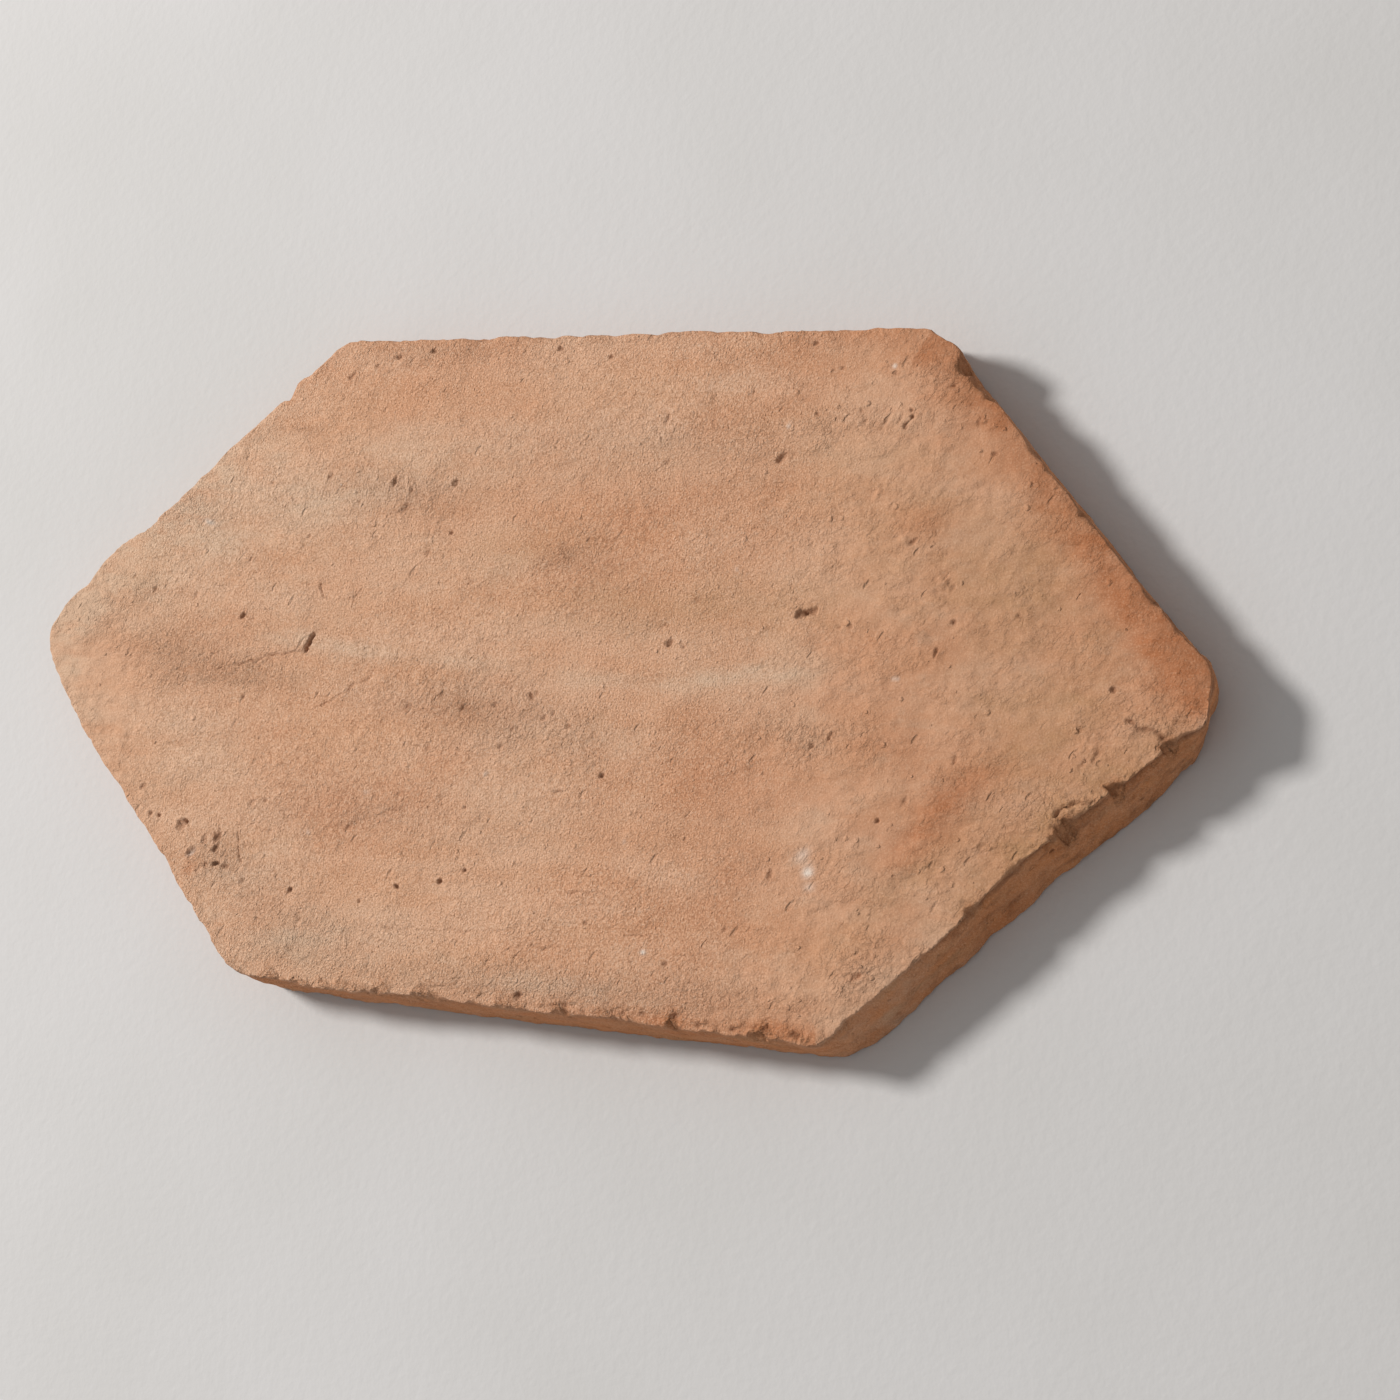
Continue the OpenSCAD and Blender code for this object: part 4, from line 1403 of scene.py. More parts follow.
@dataclass
class TileBody:
    """The whole clay body as one closed skin, from the flat bed up the walls to the worn face."""

    outline: CutOutline = field(default_factory=CutOutline)
    edges: BrokenEdges = field(default_factory=BrokenEdges)
    face: WornFace = field(default_factory=WornFace)
    wall_steps: Sizes = (1.25, 1.35, 1.4, 1.4, 0.65, 0.55)
    face_step: float = 1.17
    fine_step: float = 0.42
    band: float = 5.0
    band_step: float = 0.6
    bed_step: float = 7.0
    least_gap: float = 0.55
    bed_gap: float = 2.5
    box: Sizes = (-200, 200, -104, 104)
    band_box: Sizes = (-120, 200, -104, 10)
    crumbly: Sizes = (0.45, 0.45, 0.3, 0.35, 1.6, 0.7)
    bed_rough: float = 0.5
    rim_torn: Grain = Grain(61)
    rim_crumbly: Grain = Grain(62)
    rim_grit: Grain = Grain(63)
    rim_patchy: Grain = Grain(71)
    name: str = "tile_body"
    body: str = "root"
    node: str = "tile"
    slot: str = "terracotta"

    def middle(self, trace: Trace) -> Array:
        """Find the middle of the plain outline, which the solid is drawn back over."""
        points = np.concatenate([trace.face, trace.bed])
        return (points.max(0) + points.min(0)) / 2

    def face_filling(self, rim: Array, is_broken: Array) -> Array:
        """Scatter the points inside the face's rim, closer along its broken walls.

        Args:
            rim: The rim's points, in two columns.
            is_broken: Which of them are on a broken wall.

        Returns:
            The points.
        """
        inner = self.face.spread(self.box, self.face_step, self.fine_step)
        inner = inner[is_inside(inner, rim)]
        number, gap = nearest(inner, rim)
        inner = inner[~(is_broken[number] & (gap < self.band))]
        band = lattice(self.band_box, self.band_step)
        band = band[is_inside(band, rim)]
        number, gap = nearest(band, rim)
        inner = np.concatenate([inner, band[is_broken[number] & (gap < self.band)]])
        number, gap = nearest(inner, rim)
        spacing = np.linalg.norm(np.roll(rim, -1, 0) - rim, axis=1)
        return inner[gap > self.least_gap * np.maximum(spacing[number], self.least_gap)]

    def bed_filling(self, rim: Array) -> Array:
        """Scatter a few points inside the bed's rim."""
        inner = lattice(self.box, self.bed_step)
        inner = inner[is_inside(inner, rim)]
        return inner[nearest(inner, rim)[1] > self.bed_gap]

    def shaped_face(self, face: FilledRing, walls: Walls) -> Skin:
        """Shape the face and wear it down to meet its rim.

        Args:
            face: The filled rim.
            walls: The walls, whose last ring is the rim.

        Returns:
            The shaped and marked face.
        """
        x, y = face.points.T
        skin = Skin(x, y, self.face.base(x + walls.shift[0], y + walls.shift[1]), Marks(len(x)))
        number, gap = nearest(face.points, walls.rings[-1][:, :2])
        gap[~face.fresh] = 0
        around = walls.trace.around[number]
        self.face.shape(skin, smooth(0.0, 5.0, gap))
        self.edge_tints(skin, walls.trace.side[number], around, gap)
        blend = np.exp(-(gap / 0.9) ** 2)
        skin.high = (skin.high - 0.18 * np.exp(-gap / 1.2)) * (1 - blend) + walls.rings[-1][number, 2] * blend
        self.wear_rim(skin, around, gap, 1 - blend)
        return skin

    def wear_rim(self, skin: Skin, around: Array, gap: Array, free: Array) -> None:
        """Tear the face behind the bites and crumble it along the edges.

        Args:
            skin: The face, changed in place.
            around: The distance round of each point's nearest rim point.
            gap: How far the point lies from the rim.
            free: How free it is to move, which nothing on the rim is.
        """
        x, y, edges = skin.x, skin.y, self.edges
        worn = np.clip(edges.bitten(edges.face_bites, around, False), 0, 3)
        torn = self.rim_torn.layered(x / 2.2, y / 2.2, 3)
        skin.high -= (0.35 + 0.35 * torn) * worn / 3 * np.exp(-gap / 2.2) * free
        skin.marks.raise_to(BROKEN, smooth(0.2, 1.4, worn)
                            * np.exp(-gap / (1.0 + 0.6 * torn.clip(0, 2))))
        crumbly = edges.by_wall(around, self.crumbly) * np.exp(-(gap / 3.2) ** 2) \
            * smooth(-0.3, 0.5, self.rim_crumbly.layered(x / 7, y / 5, 2))
        grit = self.rim_grit.layered(x / 1.9, y / 1.7, 2, 0.7)
        skin.high -= crumbly * (0.55 * smooth(0.1, 0.7, grit) - 0.14 * smooth(0.0, 0.7, -grit)) * free
        skin.marks.raise_to(BROKEN, 0.35 * crumbly)
        skin.marks.raise_to(ROUGH, crumbly)
        # Darker where the crumbled rim is sunk: grime and painted shade.
        skin.marks.raise_to(DARK, 0.10 * crumbly * smooth(0.2, 0.8, grit))

    def edge_tints(self, skin: Skin, side: Array, around: Array, gap: Array) -> None:
        """Mark the pale scum and the redder, hotter clay that follow the edges, and painted shade along the
        far right edge.

        Args:
            skin: The face, its marks changed in place.
            side: The wall nearest to each place.
            around: Its distance round.
            gap: How far it lies from the edge.
        """
        patchy = self.rim_patchy.layered(skin.x / 16, skin.y / 12, 3)
        start = self.outline.starts
        share = (around - start[side]) / (start[np.minimum(side + 1, SIDES)] - start[side])
        near_right = (side == Side.NEAR_RIGHT) * smooth(0.98, 0.8, share)
        for mark, amount, wide in (
                (BUFF, near_right * smooth(0.25, 0.5, share) * 0.85, 9),
                (PALE, near_right * smooth(0.5, 0.3, share) * 0.4, 9),
                (PALE, (side == Side.FAR_LEFT) * smooth(0.1, 0.5, share) * 1.0, 13),
                (PALE, (side == Side.NEAR_LEFT) * smooth(0.6, 0.1, share) * 0.6, 9),
                (EMBER, (side == Side.FAR_RIGHT) * 0.9, 10),
                (EMBER, (side == Side.FAR) * smooth(0.6, 0.1, share) * 0.3, 6),
                # Painted shade along the far right edge.
                (DARK, (side == Side.FAR_RIGHT) * 0.15, 5),
                (PALE, (side == Side.NEAR) * smooth(0.25, 0.5, share) * 0.35, 6),
                (EMBER, (side == Side.NEAR) * smooth(0.2, 0.6, share) * 0.6, 5)):
            skin.marks.add(mark, amount * (1 + 0.3 * patchy) * np.exp(-(gap / wide) ** 2))

    def build(self) -> Piece:
        """Build the body: its walls, then the face and the bed that close them.

        Returns:
            The finished object, undressed.
        """
        trace = self.outline.trace(self.wall_steps)
        walls = Walls(trace, self.edges, self.face.base(*trace.face.T), self.middle(trace))
        rim, bed_rim = walls.rings[-1][:, :2], walls.rings[0][:, :2]
        face = FilledRing.fill(rim, self.face_filling(rim, trace.side >= Side.NEAR))
        bed = FilledRing.fill(bed_rim, self.bed_filling(bed_rim))
        skin, own = self.shaped_face(face, walls), ~face.fresh
        walls.join(face.number[own], {mark: given[own] for mark, given in skin.marks.values.items()})

        count, on_face = len(rim), np.column_stack([face.points, skin.high])[face.fresh]
        on_bed = np.column_stack([bed.points, np.zeros(len(bed.points))])[bed.fresh]
        bed_marks = Marks(len(on_bed))
        bed_marks.raise_to(ROUGH, self.bed_rough)
        points = np.concatenate([*walls.rings, on_face, on_bed])
        values = {mark: np.concatenate([*(ring.values[mark] for ring in walls.marks),
                                        skin.marks.values[mark][face.fresh], bed_marks.values[mark]])
                  for mark in Mark}
        strips, strip_map = walls.triangles()
        face_start = len(walls.rings) * count
        parts = {Patch.FACE: face.numbered(face_start - count, face_start),
                 Patch.WALL: strips,
                 Patch.BED: bed.numbered(0, face_start + len(on_face))[:, ::-1]}
        faces = np.concatenate(list(parts.values()))
        patches = np.concatenate([np.full(len(part), patch) for patch, part in parts.items()])
        points = np.clip(points, np.array(CAD_BOX[0]) / MM, np.array(CAD_BOX[1]) / MM)
        LOG.info("tile body: %d points, %d triangles", len(points), len(faces))
        return self.mesh(points, faces, ColourMap().lay(points, faces, patches, strip_map), values)

    def mesh(self, points: Array, faces: Array, uv: Array,
             values: dict[Mark, Array]) -> Piece:
        """Make the Blender mesh with its marks and its map for colour.

        Args:
            points: The points, in millimetres.
            faces: The triangles.
            uv: A place on the colour map for each of their corners.
            values: The marks, one value a point.

        Returns:
            The object.
        """
        skin = bpy.data.meshes.new(self.name)
        skin.vertices.add(len(points))
        skin.vertices.foreach_set("co", (points * MM).astype(np.float32).ravel())
        skin.loops.add(faces.size)
        skin.loops.foreach_set("vertex_index", faces.astype(np.int32).ravel())
        skin.polygons.add(len(faces))
        skin.polygons.foreach_set("loop_start", np.arange(0, faces.size, 3, dtype=np.int32))
        skin.polygons.foreach_set("use_smooth", np.ones(len(faces), bool))
        skin.update(calc_edges=True)
        for mark, value in values.items():
            layer = skin.attributes.new(mark.value, "FLOAT", "POINT")
            layer.data.foreach_set("value", value.astype(np.float32))
        skin.uv_layers.new(name=ColourMap.name).data.foreach_set("uv", uv.astype(np.float32).ravel())
        skin.validate()
        return hang(self.name, skin)

    def place(self, made: Piece) -> None:
        """Hang the body on the frame in place of the plain solid."""
        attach(made, self.body)
        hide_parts(self.node)


# ---- finishes


class Mixing(Enum):
    """The ways of laying one colour over another."""

    COVER = "MIX"
    WASH = "MULTIPLY"


class Socket(Enum):
    """The kinds of socket that a group has."""

    NUMBER = "NodeSocketFloat"
    COLOUR = "NodeSocketColor"
    PLACE = "NodeSocketVector"


@dataclass
class Sheet:
    """A node tree being drawn up: it places nodes and joins them."""

    tree: Tree

    def put(self, kind: str, **settings: object) -> Node:
        """Place a node and give it its settings and plain input values.

        Args:
            kind: The node's type name.
            **settings: Node settings by name; a setting called inputs gives input values by name.

        Returns:
            The node.
        """
        node = self.tree.nodes.new(kind)
        for name, value in settings.items():
            if name == "inputs":
                for socket, given in value.items():
                    self.feed(node.inputs[socket], given)
            else:
                setattr(node, name, value)
        return node

    def feed(self, socket: Output, given: object) -> None:
        """Join an output to an input, or set the input's value."""
        if isinstance(given, Output):
            self.tree.links.new(given, socket)
        else:
            socket.default_value = given

    def sum(self, kind: str, *given: object) -> Output:
        """Work out a number from others, by a kind of sum that the Math node names."""
        return self.put("ShaderNodeMath", operation=kind, inputs=dict(enumerate(given))).outputs[0]

    def times(self, a: object, b: object) -> Output:
        """Multiply two numbers."""
        return self.sum("MULTIPLY", a, b)

    def most(self, a: object, b: object) -> Output:
        """The larger of two numbers."""
        return self.sum("MAXIMUM", a, b)

    def and_some(self, base: object, part: object, much: object) -> Output:
        """A number with so much of another added."""
        return self.sum("MULTIPLY_ADD", part, much, base)

    def ease(self, value: object, low: float, high: float, to_low: float = 0.0,
             to_high: float = 1.0) -> Output:
        """Ease a value from one range to another, held at both ends."""
        return self.put("ShaderNodeMapRange", interpolation_type="SMOOTHSTEP", inputs={
            "Value": value, "From Min": low, "From Max": high,
            "To Min": to_low, "To Max": to_high}).outputs["Result"]

    def blend(self, share: object, under: object, over: object,
              kind: Mixing = Mixing.COVER) -> Output:
        """Lay a share of one colour over another."""
        return self.put("ShaderNodeMix", data_type="RGBA", blend_type=kind.value, inputs={
            "Factor": share, "A": under, "B": over}).outputs["Result"]

    def moved(self, kind: str, inputs: dict[int | str, object]) -> Output:
        """Move or scale places, by a kind of sum that the Vector Math node names."""
        return self.put("ShaderNodeVectorMath", operation=kind, inputs=inputs).outputs[0]

    def drawn_out(self, place: object, degrees: float, stretch: Sizes) -> Output:
        """Turn places about the upright, then draw out what is laid over them."""
        return self.put("ShaderNodeMapping", vector_type="TEXTURE", inputs={
            "Vector": place, "Rotation": (0, 0, math.radians(degrees)), "Scale": stretch}).outputs[0]

    def cells(self, place: object) -> tuple[Output, Output, Output]:
        """Scatter one point to a cell: the distance to it, and two numbers drawn for it."""
        node = self.put("ShaderNodeTexVoronoi", inputs={"Vector": place, "Scale": 1.0})
        drawn = self.put("ShaderNodeSeparateColor", inputs={"Color": node.outputs["Color"]})
        return node.outputs["Distance"], drawn.outputs["Red"], drawn.outputs["Green"]

    def noise(self, place: object, size: float, detail: float = 2.0, rough: float = 0.55,
              stretch: Sizes = (1, 1, 1)) -> Output:
        """Noise with hills of a size in the place's own units, drawn out by a stretch."""
        spot = self.moved("MULTIPLY", {0: place, 1: tuple(1 / (size * s) for s in stretch)})
        return self.put("ShaderNodeTexNoise", inputs={
            "Vector": spot, "Scale": 1.0, "Detail": detail, "Roughness": rough}).outputs["Fac"]

    def group(self, tree: Tree, given: dict[str, object]) -> dict[str, Output]:
        """Place a group with its inputs by name, and give its outputs by name."""
        node = self.put("ShaderNodeGroup", node_tree=tree, inputs=given)
        return {output.name: output for output in node.outputs}


def start_group(name: str, takes: dict[str, tuple[Socket, object]],
                gives: dict[str, Socket]) -> tuple[Sheet, dict[str, Output], Node]:
    """Start a shader node group with named sockets.

    Args:
        name: The group's name.
        takes: Its inputs, each with its kind and usual value.
        gives: Its outputs, each with its kind.

    Returns:
        The sheet to draw on, what the group is given by name, and its output node.
    """
    tree = bpy.data.node_groups.new(name, "ShaderNodeTree")
    for label, (kind, usual) in takes.items():
        socket = tree.interface.new_socket(name=label, in_out="INPUT", socket_type=kind.value)
        if usual is not None:
            socket.default_value = usual
    for label, kind in gives.items():
        tree.interface.new_socket(name=label, in_out="OUTPUT", socket_type=kind.value)
    sheet = Sheet(tree)
    given = sheet.put("NodeGroupInput").outputs
    return sheet, {label: given[label] for label in takes}, sheet.put("NodeGroupOutput")


def start_material(name: str) -> tuple[Material, Sheet, Output]:
    """Start a material with nothing in it.

    Args:
        name: The material's name.

    Returns:
        The material, its sheet and the places on the piece.
    """
    made = bpy.data.materials.new(name)
    made.use_nodes = True
    made.node_tree.nodes.clear()
    sheet = Sheet(made.node_tree)
    return made, sheet, sheet.put("ShaderNodeTexCoord").outputs["Object"]


@dataclass(frozen=True)
class ScatteredPits:
    """A group that scatters small pits: one to a cell, in a share of the cells."""

    name: str = "scattered pits"

    def build(self) -> Tree:
        """Draw the group up.

        Returns:
            The group, which puts out a mask that is one in a pit's middle.
        """
        sheet, takes, gives = start_group(
            self.name,
            {"Place": (Socket.PLACE, None), "Cell": (Socket.NUMBER, 6.0),
             "Share": (Socket.NUMBER, 0.5), "Size": (Socket.NUMBER, 0.25)},
            {"Mask": Socket.NUMBER})
        warp = sheet.put("ShaderNodeTexNoise", inputs={
            "Vector": takes["Place"], "Scale": 0.9, "Detail": 2.0, "Roughness": 0.6})
        offset = sheet.moved("MULTIPLY_ADD", {
            0: warp.outputs["Color"], 1: (1.1, 1.1, 1.1), 2: takes["Place"]})
        spot = sheet.moved("DIVIDE", {0: offset, 1: takes["Cell"]})
        distance, drawn, size_drawn = sheet.cells(spot)
        chosen = sheet.sum("LESS_THAN", drawn, takes["Share"])
        size = sheet.sum("ADD", size_drawn, 0.35)
        size = sheet.times(takes["Size"], size)
        inside = sheet.sum("SUBTRACT", 1.0, sheet.sum("DIVIDE", distance, size))
        sheet.feed(gives.inputs["Mask"], sheet.times(sheet.ease(inside, 0.0, 0.7), chosen))
        return sheet.tree


@dataclass(frozen=True)
class SandyGrain:
    """A group that gives the fine sandy skin of struck clay, in millimetres of height."""

    name: str = "sandy grain"
    pebble_apart: float = 0.95
    sand_high: float = 0.62
    grit_high: float = 0.56
    pebble_high: float = 0.28
    skin_high: float = 0.72
    leather_high: float = 0.55
    tear_high: float = 0.13

    def build(self) -> Tree:
        """Draw the group up.

        Returns:
            The group, which puts out a height and a mask of single grains.
        """
        sheet, takes, gives = start_group(
            self.name,
            {"Place": (Socket.PLACE, None), "Rough": (Socket.NUMBER, 0.3), "Calm": (Socket.NUMBER, 0.0)},
            {"Height": Socket.NUMBER, "Grains": Socket.NUMBER})
        place, calm = takes["Place"], takes["Calm"]
        sand = sheet.noise(place, 0.53, 2.0, 0.75)
        grit = sheet.noise(place, 1.0, 3.0, 0.7)
        skin = sheet.noise(place, 1.9, 3.0, 0.62, (1.2, 1.0, 1.0))
        leather = sheet.noise(place, 4.2, 3.0, 0.62, (1.2, 0.9, 1.0))
        patchy = sheet.ease(sheet.noise(place, 13.0, 3.0, 0.6, (1.6, 0.9, 1.0)), 0.40, 0.62, 0.2, 0.95)
        raised = sheet.sum("ADD", takes["Rough"], patchy)
        turned = sheet.drawn_out(place, 55, (1.5, 0.8, 1.0))
        tear = sheet.ease(sheet.noise(turned, 2.0, 4.0, 0.66), 0.52, 0.60)
        distance, drawn, _ = sheet.cells(sheet.moved("SCALE", {"Scale": 1 / self.pebble_apart, 0: place}))
        pebble = sheet.ease(distance, 0.50, 0.10)
        pebble = sheet.times(pebble, sheet.ease(drawn, 0.45, 1.0))
        high = sheet.times(sand, self.sand_high)
        high = sheet.and_some(high, grit, self.grit_high)
        high = sheet.and_some(high, pebble, self.pebble_high)
        high = sheet.times(high, sheet.and_some(0.88, takes["Rough"], 0.6))
        high = sheet.times(high, sheet.ease(calm, 0.0, 1.0, 1.0, 0.26))
        raised = sheet.times(raised, sheet.ease(calm, 0.0, 1.0, 1.0, 0.95))
        for part, much in ((skin, self.skin_high), (leather, self.leather_high), (tear, self.tear_high)):
            high = sheet.and_some(high, sheet.times(part, raised), much)
        sheet.feed(gives.inputs["Height"], high)
        sheet.feed(gives.inputs["Grains"], sheet.ease(sand, 0.56, 0.74))
        return sheet.tree


@dataclass(frozen=True)
class ClayTint:
    """A group that colours fired clay: body tones drawn out along the strokes, scum, heat, grime and painted
    shade.
    """

    name: str = "clay tint"
    marks: tuple[str, ...] = ("Pale", "Buff", "Ember", "Broken", "Dark", "Lime", "Calm", "Cut")
    body_light: Sizes = colour(230, 183, 150)
    body_mid: Sizes = colour(224, 172, 136)
    body_warm: Sizes = colour(216, 154, 115)
    scum: Sizes = colour(227, 192, 163)
    earth: Sizes = colour(206, 158, 117)
    hot: Sizes = colour(201, 129, 84)
    # This colour is partly the cut clay's own and partly painted bounced light.
    bared_and_bounce_lit: Sizes = colour(230, 153, 98)
    torn: Sizes = colour(200, 139, 96)
    dirt_and_shade: Sizes = colour(112, 70, 44)
    chalk: Sizes = colour(236, 222, 208)
    grain_tip_and_highlight: Sizes = colour(226, 192, 164)
    calm_wash: Sizes = colour(228, 224, 220)
    speck_wash: Sizes = colour(212, 198, 186)

    def build(self) -> Tree:
        """Draw the group up.

        Returns:
            The group, which puts out the clay's colour.
        """
        inputs: dict[str, tuple[Socket, object]] = {"Place": (Socket.PLACE, None)}
        inputs.update({name: (Socket.NUMBER, 0.0) for name in self.marks})
        sheet, takes, gives = start_group(self.name, inputs, {"Color": Socket.COLOUR})
        place, calm = takes["Place"], takes["Calm"]
        strokes = sheet.noise(place, 16.0, 4.0, 0.62, (3.4, 0.8, 1.0))
        cloud = sheet.noise(place, 34.0, 3.0, 0.55, (1.5, 1.0, 1.0))
        fine = sheet.noise(place, 0.52, 2.0, 0.75)
        tone = sheet.blend(sheet.ease(strokes, 0.36, 0.64), self.body_light, self.body_mid)
        tone = sheet.blend(sheet.ease(cloud, 0.42, 0.66, 0.0, 0.4), tone, self.body_warm)
        mottle = sheet.noise(place, 8.0, 3.0, 0.6, (1.8, 0.9, 1.0))
        mottled = sheet.ease(calm, 0.0, 1.0, 0.13, 0.32)
        for start, end, other in ((0.50, 0.72, self.body_warm), (0.48, 0.30, self.scum)):
            tone = sheet.blend(sheet.times(sheet.ease(mottle, start, end), mottled), tone, other)
        tone = sheet.blend(sheet.times(takes["Cut"], 0.9), tone, self.bared_and_bounce_lit)
        feather = sheet.ease(sheet.noise(place, 5.5, 4.0, 0.65, (2.2, 0.8, 1.0)), 0.25, 0.75, 0.45, 1.35)
        scum = sheet.times(takes["Pale"], feather)
        earth = sheet.times(sheet.times(takes["Buff"], feather), 0.85)
        heat = sheet.times(takes["Ember"], sheet.ease(feather, 0.45, 1.35, 0.75, 1.15))
        for share, over in ((scum, self.scum), (earth, self.earth), (sheet.times(heat, 0.8), self.hot)):
            tone = sheet.blend(sheet.sum("MINIMUM", share, 1.0), tone, over)
        tone = sheet.blend(sheet.times(takes["Broken"], 0.75), tone, self.torn)
        tone = sheet.blend(calm, tone, sheet.blend(1.0, tone, self.calm_wash, Mixing.WASH))
        # A fine speckle, darker and paler: partly the clay's own grain, partly painted shade and highlight on
        # the sand grains.
        speckled = sheet.ease(calm, 0.0, 1.0, 0.8, 0.28)
        specks = sheet.times(sheet.ease(fine, 0.58, 0.34), speckled)
        tone = sheet.blend(specks, tone, sheet.blend(1.0, tone, self.speck_wash, Mixing.WASH))
        tips = sheet.times(sheet.ease(fine, 0.52, 0.70, 0.0, 0.8), speckled)
        tone = sheet.blend(tips, tone, self.grain_tip_and_highlight)
        # The dark mark lays on grime and painted shade alike.
        tone = sheet.blend(takes["Dark"], tone, self.dirt_and_shade)
        tone = sheet.blend(takes["Lime"], tone, self.chalk)
        sheet.feed(gives.inputs["Color"], tone)
        return sheet.tree


@dataclass(frozen=True)
class Scatter:
    """A scatter of small pits or specks: its cell, their size, and how deep and dark they are."""

    cell: float
    size: float
    share: float = 0.0
    rough_share: float = 0.0
    high: float = 0.0
    tint: float = 0.0


@dataclass(frozen=True)
class FiredClay:
    """Unglazed fired clay: sandy and matt, scummed, scorched at the edges, darkened in its pits by grime and
    painted shade.
    """

    name: str = "fired_clay"
    roughness: float = 0.9
    polish: float = 0.12
    specular: float = 0.25
    nicks: Scatter = Scatter(4.2, 0.24, 0.14, 0.55, high=-0.5, tint=0.10)
    nick_turn: float = 58.0
    nick_stretch: Sizes = (1.9, 0.75, 1.0)
    dots: Scatter = Scatter(11.0, 0.075, 0.42, high=-0.4, tint=0.5)
    crumbs: Scatter = Scatter(2.6, 0.4, high=-0.4, tint=0.16)
    flecks: Scatter = Scatter(16.0, 0.032, 0.4, tint=0.8)
    bits: Scatter = Scatter(3.3, 0.26, 0.12, 0.5, high=0.44)
    bits_moved: Sizes = (47.0, 13.0, 5.0)

    def build(self) -> Material:
        """Make the material.

        Returns:
            The material.
        """
        made, sheet, where = start_material(self.name)
        place = sheet.moved("SCALE", {"Scale": 1 / MM, 0: where})
        marks = {mark: sheet.put("ShaderNodeAttribute", attribute_name=mark.value).outputs["Fac"]
                 for mark in (PALE, BUFF, EMBER, BROKEN, DARK, LIME,
                              ROUGH, CALM, CUT)}
        grain = sheet.group(SandyGrain().build(), {
            "Place": place, "Rough": marks[ROUGH], "Calm": marks[CALM]})
        pits = ScatteredPits().build()

        def scattered(scatter: Scatter, spot: object, share: object) -> Output:
            """Place a scatter and give its mask."""
            return sheet.group(pits, {"Place": spot, "Cell": scatter.cell, "Share": share,
                                      "Size": scatter.size})["Mask"]

        def more_when_rough(scatter: Scatter) -> Output:
            """The share of a scatter's cells that are filled, more where the clay is rough."""
            return sheet.and_some(scatter.share, marks[ROUGH], scatter.rough_share)

        turned = sheet.drawn_out(place, self.nick_turn, self.nick_stretch)
        nicks = scattered(self.nicks, turned, more_when_rough(self.nicks))
        dots = scattered(self.dots, place, self.dots.share)
        crumbs = scattered(self.crumbs, place, marks[BROKEN])
        flecks = scattered(self.flecks, place, self.flecks.share)
        lifted = sheet.moved("ADD", {0: place, 1: self.bits_moved})
        bits = scattered(self.bits, lifted, more_when_rough(self.bits))

        tints = dict(marks)
        # The small pits, nicks and crumbs are darkened: grime and painted shade in their hollows.
        for mask, scatter in ((dots, self.dots), (nicks, self.nicks), (crumbs, self.crumbs)):
            tints[DARK] = sheet.most(tints[DARK], sheet.times(mask, scatter.tint))
        tints[LIME] = sheet.most(marks[LIME], sheet.times(flecks, self.flecks.tint))
        tint = sheet.group(ClayTint().build(), {
            "Place": place, **{name: tints[Mark(name.lower())] for name in ClayTint.marks}})

        high = grain["Height"]
        for mask, scatter in ((nicks, self.nicks), (bits, self.bits), (dots, self.dots),
                              (crumbs, self.crumbs)):
            high = sheet.and_some(high, mask, scatter.high)
        bump = sheet.put("ShaderNodeBump", inputs={"Strength": 1.0, "Distance": MM, "Height": high})
        rough = sheet.ease(grain["Grains"], 0.0, 1.0, self.roughness, self.roughness - self.polish)
        clay = sheet.put("ShaderNodeBsdfPrincipled", inputs={
            "Base Color": tint["Color"], "Roughness": rough, "Normal": bump.outputs["Normal"],
            "Specular IOR Level": self.specular})
        sheet.put("ShaderNodeOutputMaterial", inputs={"Surface": clay.outputs["BSDF"]})
        return made

    def dress(self, piece: Piece) -> None:
        """Give a piece this finish."""
        piece.data.materials.append(self.build())


@dataclass(frozen=True)
class LimePlaster:
    """The pale, plain, slightly sandy plaster of the floor. Its sizes are in metres."""

    name: str = "lime_plaster"
    tone: Sizes = colour(209, 207, 206)
    shade: Sizes = colour(204, 202, 200)
    cloud_size: float = 0.22
    sand_size: float = 0.0032
    sand_high: float = 0.0006
    sand_strength: float = 0.25
    roughness: float = 0.85
    specular: float = 0.2

    def dress(self, piece: Piece) -> None:
        """Give the floor this finish.

        Args:
            piece: The floor.
        """
        made, sheet, where = start_material(self.name)
        cloud = sheet.noise(where, self.cloud_size, 4.0, 0.6)
        sand = sheet.noise(where, self.sand_size)
        bump = sheet.put("ShaderNodeBump", inputs={
            "Strength": self.sand_strength, "Distance": self.sand_high, "Height": sand})
        plaster = sheet.put("ShaderNodeBsdfPrincipled", inputs={
            "Base Color": sheet.blend(sheet.ease(cloud, 0.35, 0.7), self.tone, self.shade),
            "Roughness": self.roughness, "Normal": bump.outputs["Normal"],
            "Specular IOR Level": self.specular})
        sheet.put("ShaderNodeOutputMaterial", inputs={"Surface": plaster.outputs["BSDF"]})
        piece.data.materials.append(made)


# ---- the studio


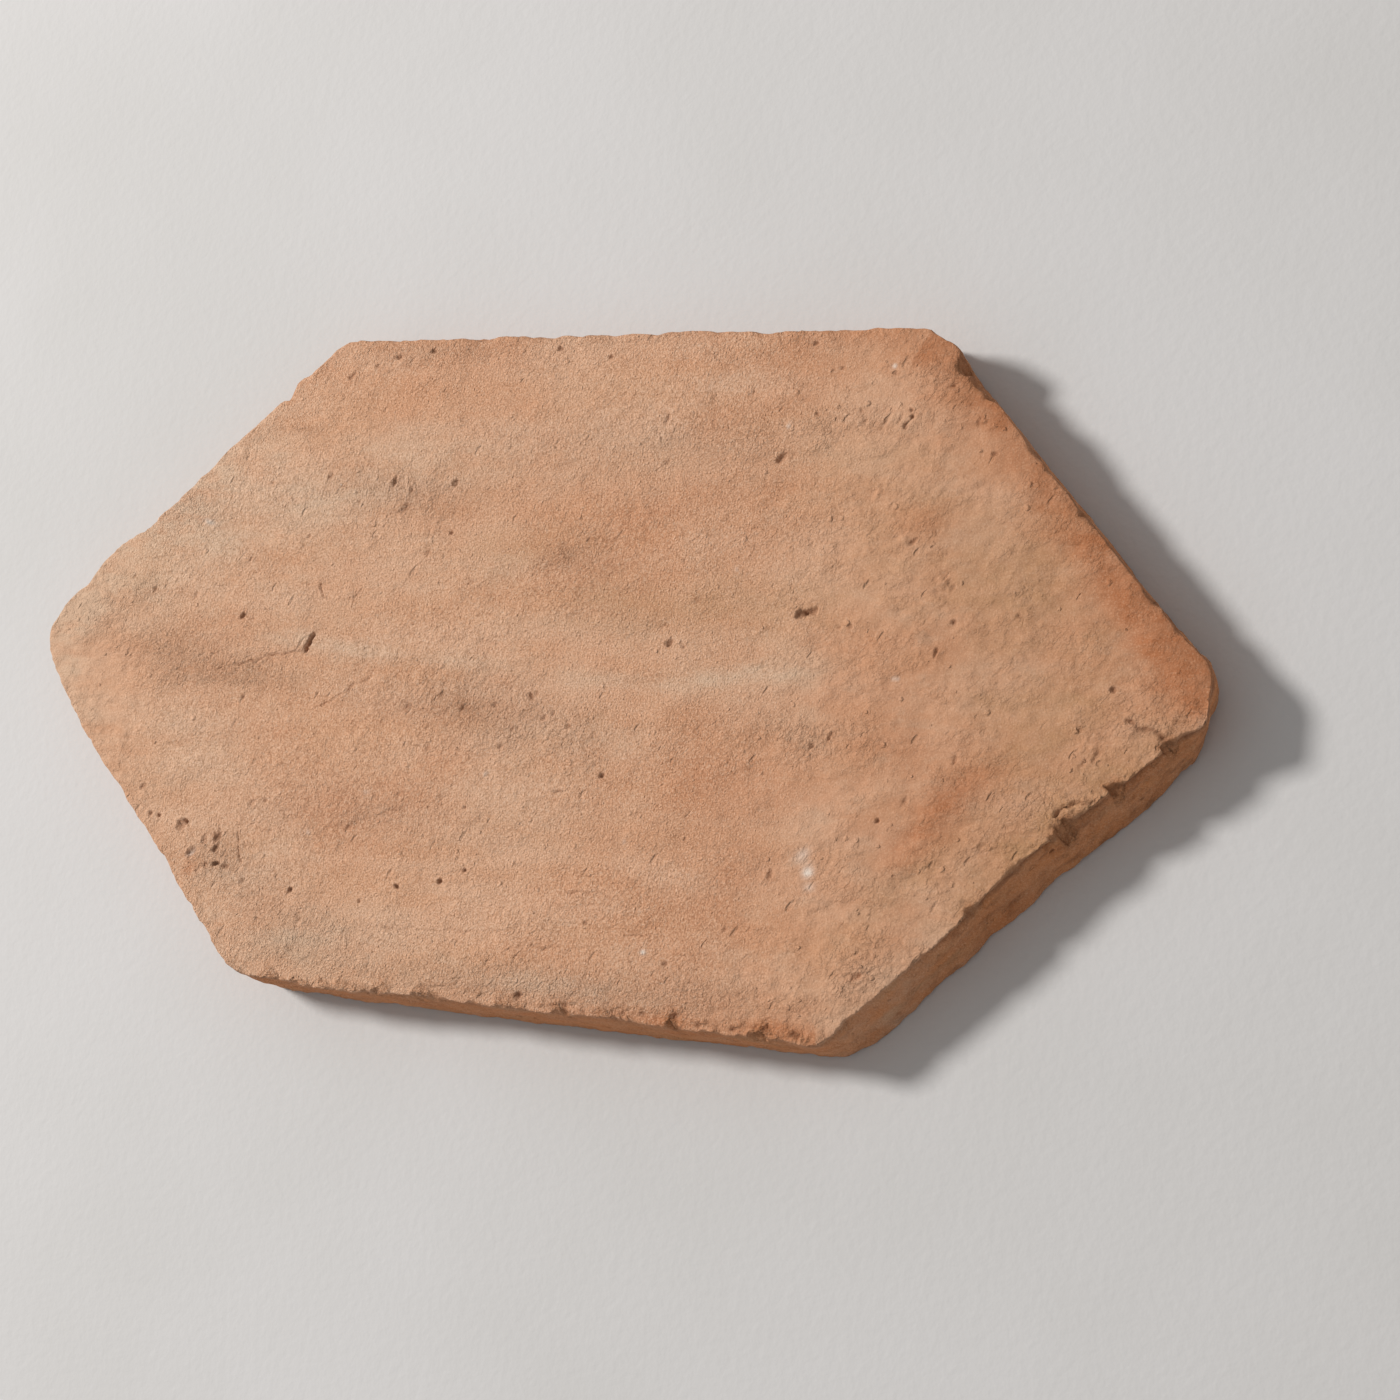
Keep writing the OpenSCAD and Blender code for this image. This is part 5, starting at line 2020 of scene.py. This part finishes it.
@dataclass
class Studio:
    """The plain pale floor, the soft lamps and the camera. Its sizes are in metres."""

    floor_half: float = 3.0
    floor_drop: float = 0.0002
    key_from: Sizes = (-2.30, 0.62, 2.15)
    key_size: float = 0.7
    key_power: float = 99.0
    key_tint: Sizes = (1.0, 0.985, 0.965)
    sky: float = 0.36
    sky_tint: Sizes = (1.0, 0.99, 0.985, 1.0)
    eye: Sizes = (0.53686, -0.17504, 0.81095)
    aim: Sizes = (0.0453257, -0.0073725, 0.0185)
    roll: float = -65.137
    lens: float = 87.6794
    sensor: float = 36.0
    seen_from: float = 0.01
    seen_to: float = 50.0

    def floor(self) -> Piece:
        """Lay the floor just under the tile.

        Returns:
            The floor.
        """
        skin = bpy.data.meshes.new("floor")
        h, z = self.floor_half, -self.floor_drop
        skin.from_pydata([(-h, -h, z), (h, -h, z), (h, h, z), (-h, h, z)], [], [(0, 1, 2, 3)])
        made = hang("floor", skin)
        LimePlaster().dress(made)
        return made

    def light(self) -> None:
        """Hang one soft lamp up to the left and fill the rest from an even sky."""
        lamp = bpy.data.lights.new("key", "AREA")
        lamp.shape, lamp.size, lamp.energy, lamp.color = "DISK", self.key_size, self.key_power, self.key_tint
        made = hang("key", lamp)
        made.location = self.key_from
        made.rotation_euler = (-Vector(self.key_from)).to_track_quat("-Z", "Y").to_euler()
        world = bpy.data.worlds.new("sky")
        world.use_nodes = True
        back = world.node_tree.nodes["Background"]
        back.inputs["Color"].default_value = self.sky_tint
        back.inputs["Strength"].default_value = self.sky
        bpy.context.scene.world = world

    def camera(self) -> None:
        """Stand the camera where the tile is seen from its right point, turned level with it."""
        eye = bpy.data.cameras.new("camera")
        eye.lens, eye.sensor_width = self.lens, self.sensor
        eye.clip_start, eye.clip_end = self.seen_from, self.seen_to
        made = hang("camera", eye)
        way = Vector(self.aim) - Vector(self.eye)
        turn = way.to_track_quat("-Z", "Y").to_matrix() @ Matrix.Rotation(math.radians(self.roll), 3, "Z")
        made.matrix_world = Matrix.Translation(Vector(self.eye)) @ turn.to_4x4()
        bpy.context.scene.camera = made

    def set_up(self) -> None:
        """Set the whole studio up."""
        self.floor()
        self.light()
        self.camera()
        bpy.context.scene.view_settings.view_transform = "Standard"


def main() -> None:
    """Build and dress the tile, and set up the studio."""
    logging.basicConfig(level=logging.INFO, format="%(name)s: %(message)s")
    tile = TileBody()
    made = tile.build()
    tile.place(made)
    FiredClay().dress(made)
    LOG.info("dressed %s", made.name)
    Studio().set_up()
    LOG.info("studio set up")


if __name__ == "__main__":
    main()
